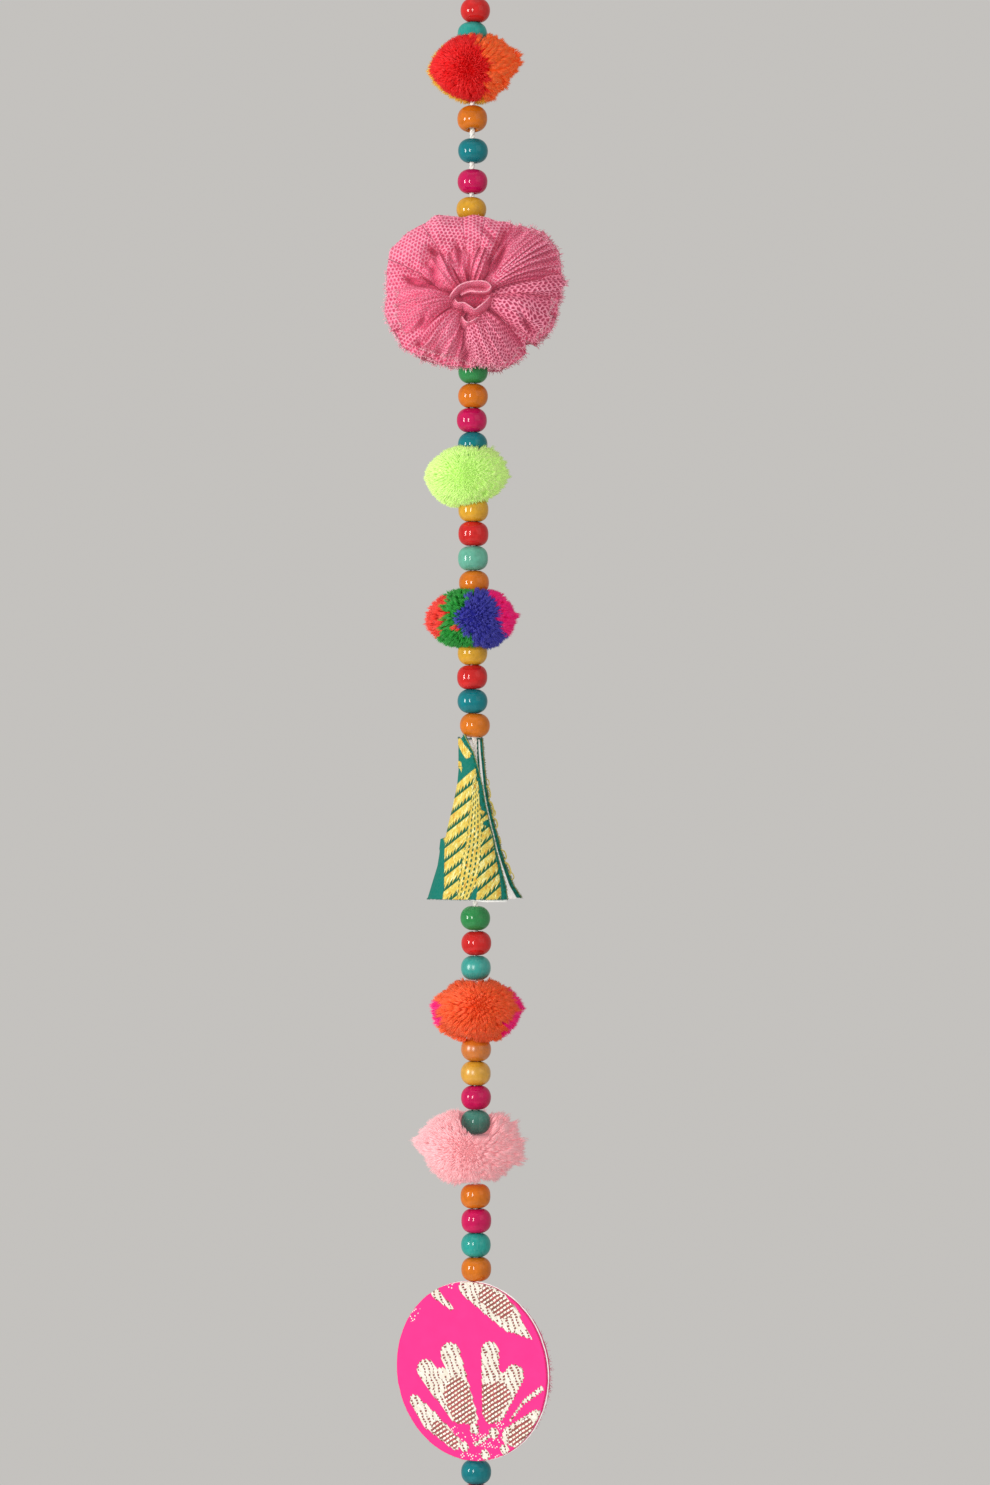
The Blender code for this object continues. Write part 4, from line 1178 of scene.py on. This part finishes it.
def make_pompoms():
    yarns = {name: yarn(name) for name in YARNS}
    for name, drop, x, slot, above, below, seed in POMPOMS:
        rng = np.random.default_rng(seed)
        above, below = ((BEADS[number - 1][2], height(BEADS[number - 1][1])) for number in (above, below))
        zone_of, pole, zones = POMPOM_ZONES[name]
        centre = np.array([x, 0.0, height(drop)])
        largest = max(r for _, r in OUTLINES[name])
        parts = Parts()
        for index, (_, pitch, *tuft) in enumerate(zones):
            d = spiral(int(4 * math.pi * largest**2 / (0.87 * pitch**2)), rng)
            p = surface(name, d)
            chance = (np.linalg.norm(p, axis=1) / largest) ** 2
            d = d[(rng.uniform(0, 1, len(d)) < chance * 1.15) & (zone_of(p, d) == index)]
            strands, tone = tufts(rng, name, d, pole, *tuft)
            strands = strands + centre
            shown = ~hides_bead(name, strands, above, below)
            numbers = {"tone": np.repeat(tone[shown], FIBRE_POINTS), "tip": np.tile(FIBRE_TIP, shown.sum())}
            add_fibres(parts, strands[shown], index, **numbers)
        add_core(parts, name, seed, centre, zone_of, above, below)
        piece(f"{name}_yarn", name, [yarns[row[0]] for row in zones], parts)


# Net pom


def from_table(table, deg):
    """A closed table of angle and number, eased between its rows."""
    angle, value = np.array(table, float).T
    angle, value = np.append(angle, angle[0] + 360), np.append(value, value[0])
    deg = deg % 360
    k = np.clip(np.searchsorted(angle, deg, side="right") - 1, 0, len(table) - 1)
    return value[k] + (value[k + 1] - value[k]) * eased((deg - angle[k]) / (angle[k + 1] - angle[k]))


def uneven(turn, seed, waves):
    """A smooth closed random curve over the angle, about -1 to 1."""
    rng = np.random.default_rng(seed)
    total = 0 * turn
    for k in waves:
        total = total + rng.normal() * np.sin(k * turn + rng.uniform(0, 2 * math.pi))
    return total / math.sqrt(len(waves))


def hill(x, z, wide, tall):
    return np.exp(-((x / wide) ** 2) - (z / tall) ** 2)


def turned_pair(x, z, angle):
    """x and z as seen along a direction and across it."""
    return x * np.cos(angle) + z * np.sin(angle), z * np.cos(angle) - x * np.sin(angle)


def net_dents(x, z):
    """How far the lobes are pressed in at each point."""
    total = 0
    for at_x, at_z, degrees, long, wide, deep in NET_DENTS:
        total = total + deep * hill(*turned_pair(x - at_x, z - at_z, math.radians(degrees)), long, wide)
    return total


def pleat(phase, power):
    """A row of round pleats with sharp valleys, from -1 to 1."""
    return 2 * np.abs(np.sin(phase)) ** power - 1


def net_layer(y_hub, y_mid, y_rim, share, turned, pleats, depth, wander, seed):
    """One gathered ruffle: its grid of points, and for each its place on the cloth, density and painted shade
    in its valleys.
    """
    way = -1 if y_mid < 0 else 1
    turn = round_steps(NET_STEPS)
    deg = np.degrees(turn)
    s = np.linspace(0, 1, NET_ROWS)[:, None]
    reach = from_table(NET_OUTLINE, deg) * share * (1 + wander * uneven(turn, seed, range(7, 30, 3)))
    r = NET_GATHER_RADIUS + (reach - NET_GATHER_RADIUS) * s
    # fine pleats, which fade in the folded-over band at the top
    grow = 0.15 + 0.85 * s
    strong = depth * (0.75 + 0.35 * uneven(turn, seed + 50, range(3, 12)))
    if way < 0:
        strong = strong * from_table(NET_PLEATS, deg)
    phase = pleats * turn + 1.6 * uneven(turn, seed + 1, range(2, 9))
    phase = phase + 0.9 * uneven(turn, seed + 2, range(3, 12)) * s
    start, end, out = NET_BAND
    band = eased((deg - start) / 30) * (1 - eased((deg - end + 30) / 30)) * (share == 1.0)
    smooth = 1 - 0.85 * band * eased((s - 0.45) / 0.2)
    fine = np.sin(round(pleats * 2.6) * turn + 2.0 * uneven(turn, seed + 3, range(3, 9)))
    y = arch(s, y_hub, y_mid, y_rim) + way * grow * smooth * (strong * pleat(phase / 2, 0.7) + 0.28 * fine)
    # painted shade in the pleats' valleys; the creases below add theirs
    valley = 0.30 * (1 - np.abs(np.sin(phase / 2))) ** 2 * grow * smooth

    # between two main creases the net puffs out, and each sector's weave lies its own way
    rng = np.random.default_rng(seed + 7)
    creases = sorted(((angle + turned) % 360, *others) for angle, *others in NET_CREASES)
    starts = np.array([crease[0] for crease in creases])
    sector = (np.searchsorted(starts, deg, side="right") - 1) % len(starts)
    width = (np.roll(starts, -1) - starts) % 360
    inside = ((deg - starts[sector]) % 360) / width[sector]
    puff = rng.uniform(0.3, 2.2, len(starts))[sector] * np.sin(math.pi * inside) ** 0.8
    y = y + way * puff * 4 * s * (1 - s) * smooth
    for angle, deep, half, start, end in creases:
        off = ((deg - angle - rng.uniform(-5, 5) * (s - 0.4) + 180) % 360 - 180) / half
        crease = np.exp(-(off**2)) * eased((s - start) / 0.2) * (1 - eased((s - end) / 0.15)) * smooth
        y = y - way * deep * crease
        valley = valley + min(deep / 4.0, 1.0) * np.exp(-((1.4 * off) ** 2)) * crease
    y = y - out * band * np.exp(-(((s - 0.80) / 0.15) ** 2))

    # the pleats lean over, so the net overlaps itself a little
    shown = turn + 0.55 * strong * grow * np.sin(phase + 0.6) * smooth / np.maximum(r, 4.0)
    x = r * np.cos(shown)
    z = r * np.sin(shown) - NET_GATHER_DOWN * (1 - s)
    dents = net_dents(x, z) if way < 0 else 0.0
    cloth = turned_pair(x, z, np.radians(starts + width / 2)[sector])
    cloth = [along + rng.uniform(0, 9, len(starts))[sector] for along in cloth]
    dense = 0.6 * (hill(x + 14, z, 7, 9) + np.exp(-(x**2 + (z + 3) ** 2) / 30)) + 0.12
    dense = dense + 0.10 * uneven(turn, seed + 9, range(4, 15)) * s
    points = np.stack([x + NET_X, y + dents, z + height(NET_DROP)], -1)
    return points, np.stack(cloth, -1), np.clip(dense, 0, 1), np.clip(valley + 0.3 * dents, 0, 1)


def net_lobe(seed, hub_from, hub_to, rim_from, rim_to, share, lift, puff, roll, pleats, depth, slant, dense):
    """One fan of net between two creases, as net_layer gives it."""
    rng = np.random.default_rng(seed)
    t = np.linspace(0, 1, NET_LOBE_COLUMNS)[None]
    s = np.linspace(0.02, 1, NET_LOBE_ROWS)[:, None]
    wave = rng.uniform(0, 2 * math.pi, 6)
    low = hub_from + (rim_from - hub_from) * eased(s)
    high = hub_to + (rim_to - hub_to) * eased(s)
    turn = np.radians(low + (high - low) * t)
    wander = 0.022 * np.sin(7 * t + wave[0]) + 0.02 * np.sin(pleats * 6.3 * t + wave[1])
    wander = wander + 0.010 * np.sin(47 * t)
    edge = from_table(NET_OUTLINE, np.degrees(turn)) * share * (1 + wander)
    r = NET_GATHER_RADIUS + (edge - NET_GATHER_RADIUS) * s

    # a puffed fan with its sides drawn in, then its pleats, ripples and rolled end
    across = np.sin(math.pi * t) ** 0.65
    y = arch(s, *NET_LOBE_CURVE) - (lift - 2.6 * (1 - across)) * eased(s / 0.3)
    y = y - puff * across * eased(s / 0.4) * (1 - 0.4 * eased((s - 0.6) / 0.4))
    phase = math.pi * pleats * (t + 0.05 * np.sin(5 * t + wave[2]) + 0.03 * np.sin(11 * t + wave[3]))
    phase = phase + slant * s + 0.5 * np.sin(4 * s + wave[4]) * np.sin(3 * t + wave[5])
    uneven_depth = 0.8 + 0.35 * np.sin(9 * t + wave[1]) + 0.2 * np.sin(5 * s + 17 * t + wave[0])
    ripple = depth * uneven_depth * (0.45 + 0.55 * s)
    y = y - ripple * pleat(phase, 0.65) + 0.16 * np.sin(31 * t + 6 * s + wave[2]) * np.sin(9 * s + wave[3])
    y = y + roll * eased((s - 0.72) / 0.28) ** 2
    shown = turn + 0.75 * ripple * np.sin(2 * phase + 0.5) / np.maximum(r, 4.0)
    x = r * np.cos(shown)
    z = r * np.sin(shown) - NET_GATHER_DOWN * (1 - s)
    dents = net_dents(x, z)
    points = np.stack([x, y + dents, z], -1)

    # the weave follows the cloth, turned a little from lobe to lobe
    run = run_along(points)
    out = np.linalg.norm(np.diff(points, axis=0), axis=2).mean(1)
    v = np.append(0, np.cumsum(out))[:, None]
    a = rng.uniform(-0.4, 0.4)
    along, over = turned_pair(run - run[:, -1:] / 2, v, -a)
    cloth = np.stack([along + 50 * a, over], -1) * read(NET_WIDER, dense)
    near_gather = np.exp(-(x**2 + (z + 3) ** 2) / 45)
    thick = dense * (0.5 + 0.5 * across) + 0.6 * near_gather + 0.35 * hill(x + 14, z, 7, 8)
    # painted shade at the lobe's drawn-in sides, in its pleats' valleys, near the gather and in its dents
    valley = 1.1 * (1 - across) ** 1.3 + 0.45 * (1 - np.abs(np.sin(phase))) ** 2 * (0.4 + 0.6 * s)
    valley = valley + 0.35 * near_gather + 0.3 * dents
    points = points + (NET_X, 0.0, height(NET_DROP))
    return points, cloth, np.clip(thick, -0.6, 1), np.clip(valley, 0, 1)


def net_curl(seed, route):
    """A standing fold of net at the gather: a bright rim over a sloping side and a steep one, with painted
    shade deepening towards its foot.
    """
    line = smooth_route([(x + NET_X, 0.0, z + height(NET_DROP)) for x, z in route], 0.4)
    tangent = unit(np.gradient(line, axis=0))
    run = np.linspace(0, 1, len(line))
    foot, crest = NET_CURL_DEPTHS
    top = crest + 3.0 * np.abs(2 * run - 1) ** 4 + 0.35 * np.sin(run * 19 + seed)
    rows, maps, valley_shades = [], [], []
    for across, up in NET_CURL_SECTION:
        off = across + 0.25 * np.sin(run * 37 + seed) * (1 - up)
        y = foot + (top - foot) * up
        rows.append(line + np.stack([-tangent[:, 2] * off, y, tangent[:, 0] * off], -1))
        maps.append(np.stack([run * len(line) * 0.4, np.full(len(line), across * 2 + up * 8)], -1))
        valley_shades.append(np.full(len(line), 0.9 - 0.9 * up))
    return np.stack(rows), np.stack(maps), 0.45, np.stack(valley_shades)


def net_gather(way):
    """The crumpled net that closes the middle of the gather, under an even painted shade."""
    radius, rows, columns = NET_GATHER_COVER
    s = np.linspace(0.02, 1, rows)[:, None]
    turn = round_steps(columns)
    y = way * (11.6 - 3.4 * s**2 + 0.7 * np.sin(9 * turn + 3 * s) * s + 0.4 * np.sin(17 * turn) * s)
    middle_z = height(NET_DROP) - NET_GATHER_DOWN
    points = np.stack([NET_X + radius * s * np.cos(turn), y, middle_z + radius * s * np.sin(turn)], -1)
    return points, points[..., ::2], 0.9, 0.6


def net_fray(rng, rim, inner, folded, size=1.0):
    """Short cut ends along a rim, with few of them where it is folded."""
    pick = np.flatnonzero(~folded | (rng.uniform(0, 1, len(rim)) < 0.25))
    start, out = rim[pick], unit(rim[pick] - inner[pick])
    out = unit(out + rng.normal(0, 0.42, out.shape))
    shorter = np.where(folded[pick], 0.4, 1.0)[:, None]
    out = out * size * NET_FRAY * rng.uniform(0.35, 1.15, (len(pick), 1)) * shorter
    middle = start + out * 0.5 + rng.normal(0, 0.1, out.shape)
    return fibres(rng, start - unit(out) * 0.2, middle, start + out, NET_FRAY_RADIUS)


def net_piece(name, layers, lobes, curls, seed, finishes):
    rng = np.random.default_rng(seed)
    parts = Parts()

    def add(surface_made, finish, closed=False):
        points, cloth, dense, valley = surface_made
        quads = grid_faces(*points.shape[:2], closed=closed)
        parts.add(points, quads, finish=finish, cloth=cloth, dense=dense, valley=valley)
        return points

    def add_fray(rim, inner, folded=None, size=1.0):
        folded = np.zeros(len(rim), bool) if folded is None else folded
        strands = net_fray(rng, rim, inner, folded, size)
        add_fibres(parts, strands, 2, cloth=0.0, dense=0.0, valley=0.0)

    deg = np.arange(NET_STEPS) * 360 / NET_STEPS
    for index, row in enumerate(layers):
        points = add(net_layer(*row), min(index, 1), closed=True)
        add_fray(points[-1], points[-2], (deg > NET_FOLDED[0]) & (deg < NET_FOLDED[1]))
    for index, row in enumerate(lobes):
        points = add(net_lobe(seed + 20 + index, *row), 0)
        if not row[NET_LOBE_ROLL]:
            add_fray(points[-1], points[-2])
    for index, route in enumerate(curls):
        made = net_curl(seed + index, route)
        strip = np.repeat(np.arange(len(NET_CURL_SECTION) - 1), made[0].shape[1] - 1)
        points = add(made, np.where(strip == NET_CURL_RIM, 2, 1))
        add_fray(points[NET_CURL_RIM], points[NET_CURL_RIM - 2], size=NET_CURL_FRAY)
    add(net_gather(-1 if layers[0][1] < 0 else 1), 1, closed=True)
    return piece(name, "net_pom", finishes, parts)


def make_net():
    open_net = net("net_open", NET_COLOUR, 0.70, 0.15)
    # the closed net is a little darker: painted shade on the layers within and behind, the curls' sides and
    # the gather cover
    finishes = [open_net, net("net_close", darker(NET_COLOUR, 0.88), 0.75, 0.0), net_thread()]
    front = net_piece("net_pom_front", NET_FRONT, NET_LOBES, NET_CURLS, 71, finishes)
    back = net_piece("net_pom_back", NET_BACK[::-1], (), (), 72, finishes)


# Brocade cone


def polygon_depth(x, y, corners):
    """How far inside a polygon each point lies; negative outside."""
    c = np.array(corners, float)
    nearest = np.full(x.shape, 1e9)
    inside = np.zeros(x.shape, bool)
    for (ax, ay), (bx, by) in zip(c, np.roll(c, -1, 0)):
        dx, dy = bx - ax, by - ay
        t = np.clip(((x - ax) * dx + (y - ay) * dy) / (dx**2 + dy**2), 0, 1)
        nearest = np.minimum(nearest, np.hypot(x - ax - t * dx, y - ay - t * dy))
        inside ^= ((ay > y) != (by > y)) & (x < dx * (y - ay) / (dy or 1e-9) + ax)
    return np.where(inside, nearest, -nearest)


def cone_surface(drop, share, inset):
    """A point of the cone's cloth at a drop and a share of the way from its front edge round to its back."""
    left, front, back = (read(CONE_SECTIONS, drop, column) for column in (1, 2, 3))
    row = np.interp(drop, [section[0] for section in CONE_SECTIONS], range(len(CONE_SECTIONS)))
    half = (back - left) / (1 + math.cos(math.radians(CONE_BACK_EDGE_DEG)))
    middle = left + half
    deep = half * (0.95 - 0.2 * row / (len(CONE_SECTIONS) - 1))
    start = -np.arccos(np.clip((front - middle) / half, -1, 1))
    a = start + (math.radians(CONE_BACK_EDGE_DEG - 360) - start) * share
    return np.stack([middle + (half - inset) * np.cos(a), (deep - inset) * np.sin(a), height(drop)], -1)


def cone_numbers(x, drop):
    """The pattern's numbers at each point: inside the leaf, inside its rib, bar and strand counts."""
    leaf = np.maximum.reduce([polygon_depth(x, drop, corners) for corners in (LEAF, LEAF_TOP, LEAF_LENS)])
    left, right = read(RIB, drop, 1), read(RIB, drop, 2)
    bars = (BARS_LEFT, BARS_RIGHT)
    on_left, on_right = ((drop + slope * x - start) / apart for slope, start, apart in bars)
    return {
        "leaf": np.minimum(leaf, -polygon_depth(x, drop, LEAF_WEDGE)),
        "rib": np.minimum(x - left, right - x),
        "bar": np.where(drop < BARS_START, 0.5, np.where(x < (left + right) / 2, on_left, on_right)),
        "strand": (x - left) / np.maximum(right - left, 0.3) * RIB_STRANDS,
    }


def make_cone():
    top, bottom = CONE_SECTIONS[0][0], CONE_SECTIONS[-1][0]
    drop, share = grid(np.linspace(top, bottom, CONE_ROWS), np.linspace(0, 1, CONE_COLUMNS))
    flat = cone_surface(drop, share, 0.0)
    numbers = cone_numbers(flat[..., 0], drop)
    outer = cone_surface(drop, share, -CONE_RELIEF * eased(numbers["leaf"] / 0.5 + 0.5))
    outer[..., 2] += CONE_TIP_RISE * np.clip(1 - (drop - top) / 4, 0, 1) * np.clip(1 - share * 12, 0, 1)
    run = run_along(outer)
    left_side = np.argmin(outer[..., 0], 1)[:, None]
    cloth = np.stack([run - np.take_along_axis(run, left_side, 1), drop], -1)
    at, far, fades, wide = CONE_STEP
    stepped = eased((drop - at) / 0.5) * np.clip(1 - (drop - at - 0.5) / fades, 0, 1)
    stepped = stepped * np.exp(-(((share - np.take_along_axis(share, left_side, 1)) / wide) ** 2))
    outer[..., 0] -= far * stepped
    numbers["hem"] = np.minimum(run, run[:, -1:] - run)
    parts = Parts().add(outer, grid_faces(CONE_ROWS, CONE_COLUMNS), cloth=cloth, **numbers)

    # the cloth's cut edge, all the way round
    ring = grid_rim(CONE_ROWS, CONE_COLUMNS)
    inner = cone_surface(drop, share, CONE_SKIN)
    inner[..., 2] += (outer - flat)[..., 2]
    on_edge = {key: number.ravel()[ring] for key, number in numbers.items()} | {"leaf": -1.0, "hem": 0.5}
    quads = wall(ring - parts.count, np.arange(len(ring)))
    parts.add(inner.reshape(-1, 3)[ring], quads, cloth=cloth.reshape(-1, 2)[ring], **on_edge)

    # the hem turned in behind the back edge
    shares = np.linspace(1.0, 1.0 - CONE_HEM / run[:, -1].mean(), HEM_COLUMNS)
    drops, shares = grid(np.linspace(top, bottom, HEM_ROWS), shares)
    hem = cone_surface(drops, shares, np.linspace(CONE_SKIN, HEM_INSET, HEM_COLUMNS))
    cloth = np.stack([0 * drops + np.linspace(0, CONE_HEM, HEM_COLUMNS), drops], -1)
    in_hem = dict.fromkeys(numbers, 0.4) | {"leaf": -1.0}
    parts.add(hem, grid_faces(HEM_ROWS, HEM_COLUMNS), cloth=cloth, **in_hem)

    made = piece("cone_brocade", "cone_cloth", [cone_brocade()], parts)
    make_cone_lining(top + 0.4, bottom - 0.1)
    make_cone_threads(outer)


def make_cone_lining(top, bottom):
    drop, share = grid(np.linspace(top, bottom, LINING_ROWS), np.linspace(-0.006, 0.985, LINING_COLUMNS))
    lower = (0, 0, 1) * (read(LINING_LONGER, share) * eased((drop - bottom + 5.9) / 6))[..., None]
    fold = 0.15 * np.sin(share * 37) * np.sin(drop * 0.13 + share * 9)
    insets = (CONE_LINING_INSET - 0.1, CONE_LINING_INSET + 0.45 + fold)
    outer, inner = (cone_surface(drop, share, inset) - lower for inset in insets)
    quads = grid_faces(LINING_ROWS, LINING_COLUMNS)
    ring = grid_rim(LINING_ROWS, LINING_COLUMNS)
    quads = np.concatenate([quads, quads[:, ::-1] + drop.size, wall(ring, ring + drop.size)])
    # the lining's glow is painted light, which lifts it where it lies in shade inside the cone
    white = plain_thread("lining_white", LINING_WHITE, 0.85, 0.22)
    lining = piece("cone_lining_cloth", "cone_lining", [white], Parts().add(np.stack([outer, inner]), quads))


def make_cone_threads(outer):
    """Frayed ends along the cloth's cut edges and yellow loops along the back edge."""
    rng = np.random.default_rng(81)
    parts = Parts()
    back = outer[:, -1]
    # each edge: its line, the line inside it, how many ends and how long
    edges = (
        (outer[:, 0], outer[:, 1], 320, 0.45),
        (back, outer[:, -2], 320, 0.5),
        (outer[-1], outer[-2], 420, 0.35),
        (outer[0], outer[1], 120, 0.6),
    )
    for line, inside, count, long in edges:
        k = rng.uniform(0, len(line) - 1.001, count)
        low, part = k.astype(int), (k % 1)[:, None]
        start = line[low] * (1 - part) + line[low + 1] * part
        aim = unit(unit((line - inside)[low]) + rng.normal(0, 0.45, (count, 3)))
        tip = start + aim * long * rng.uniform(0.5, 1.4, (count, 1))
        add_fibres(parts, fibres(rng, start - aim * 0.3, (start + tip) / 2, tip, FRAY_RADIUS))
    for centre, tall, bulge, thick in CONE_LOOPS:
        at = np.argmin(np.abs(height(centre) - back[:, 2]))
        span = max(3, int(tall / 0.36)) // 2
        top, bottom = back[max(at - span, 0)], back[min(at + span, len(back) - 1)]
        middle = (top + bottom) / 2 + (bulge, -0.4, 0.0)
        upper = top * 0.7 + middle * 0.3 + (bulge * 0.4, 0, 0)
        lower = bottom * 0.7 + middle * 0.3 + (bulge * 0.3, 0, 0)
        route = [top - (0.5, 0, 0), upper, middle, lower, bottom - (0.5, 0, 0)]
        parts.add(*tube(smooth_route(route, 0.5), thick), finish=1)
    finishes = [plain_thread("cone_teal_thread", CONE_TEAL), plain_thread("cone_gold_thread", CONE_YELLOW)]
    piece("cone_frayed_threads", None, finishes, parts)


# Brocade disc


def stroke_depth(x, y, strokes):
    """How far inside the nearest of some tapering strokes each point lies; negative outside."""
    best = np.full(x.shape, -1e9)
    for ax, ay, ar, bx, by, br in strokes:
        dx, dy = bx - ax, by - ay
        t = np.clip(((x - ax) * dx + (y - ay) * dy) / max(dx * dx + dy * dy, 1e-9), 0, 1)
        best = np.maximum(best, ar + (br - ar) * t - np.hypot(x - ax - t * dx, y - ay - t * dy))
    return best


def disc_place(a, b, w):
    """A point of the disc from its own right, up and outward distances."""
    turn = math.radians(DISC_TURN_DEG)
    x = DISC_X + a * math.cos(turn) - w * math.sin(turn)
    return np.stack([x, -a * math.sin(turn) - w * math.cos(turn), b + height(DISC_DROP)], -1)


def disc_layer(name, node, row, finish, figured=False):
    """A round sheet with a face, an edge and a back; the figured one is raised along its motifs."""
    front, back, radius, rough, rings, steps, seed = row
    turn = round_steps(steps)
    edge = radius * (1 + rough * uneven(turn, seed, range(9, 60, 5)))
    shares = np.append(np.linspace(0.0005, 1, rings), DISC_BEHIND)[:, None]
    levels = [front] * (rings - 1) + [front - 0.06] + [back] * len(DISC_BEHIND)
    a, b = shares * edge * np.cos(turn), shares * edge * np.sin(turn)
    w = np.array(levels)[:, None] + 0 * turn
    numbers = {}
    if figured:
        tables = {"motif": DISC_MOTIFS, "hatch": DISC_HATCHED, "strewn": DISC_STREWN}
        numbers = {key: stroke_depth(a, b, table) for key, table in tables.items()}
        raised = DISC_RELIEF * eased(numbers["motif"] / 0.4 + 0.4) - 0.05
        w = w + raised * (np.arange(len(w)) < rings - 1)[:, None]
        numbers["strewn"] = np.minimum(numbers["strewn"], -numbers["motif"])
        numbers["motif"][rings:] = -2.0
        numbers["cloth"] = np.stack([a, b], -1)
    parts = Parts().add(disc_place(a, b, w), grid_faces(len(shares), steps, closed=True), **numbers)
    return piece(name, node, [finish], parts)


def make_disc():
    pink = plain_thread("disc_back_pink", DISC_PINK, 0.7)
    # the card's glow is painted light, so that its thin edge shows bright on the side away from the lamps
    white = plain_thread("card_white", CARD_WHITE, 0.8, 0.25)
    front = disc_layer("disc_front_brocade", "disc_front_cloth", DISC_FRONT, disc_brocade(), figured=True)
    disc_layer("disc_card_white", "disc_card", DISC_CARD, white)
    back = disc_layer("disc_back_pink", "disc_back_cloth", DISC_BACK, pink)
    make_disc_threads(pink)


def make_disc_threads(pink):
    """Frayed ends round both cloths, those of the back one mostly at the right."""
    rng = np.random.default_rng(91)
    in_front, count = DISC_FRAYED[0], sum(DISC_FRAYED)
    at_front = np.arange(count) < in_front
    turn = rng.uniform(0, 2 * math.pi, count)
    turn[in_front:] = rng.normal(-0.25, 0.55, count - in_front)
    level = np.where(at_front, rng.uniform(2.6, 3.5, count), rng.uniform(-2.1, -1.3, count))
    radius = np.where(at_front, DISC_FRONT[2], DISC_BACK[2]) - 0.1
    long = np.where(at_front, rng.uniform(0.2, 0.7, count), rng.uniform(0.5, 2.2, count))
    a, b = radius * np.cos(turn), radius * np.sin(turn)
    aim = turn + rng.normal(0, 0.7, count)
    start = disc_place(a, b, level)
    tip = disc_place(a + long * np.cos(aim), b + long * np.sin(aim), level + rng.normal(0, 0.25, count))
    strands = fibres(rng, start, (start + tip) / 2 + rng.normal(0, 0.1, tip.shape), tip, FRAY_RADIUS)
    piece("disc_frayed_threads", None, [pink], add_fibres(Parts(), strands))


make_camera()
make_lights()
make_floor()
make_cord()
make_beads()
make_pompoms()
make_net()
make_cone()
make_disc()
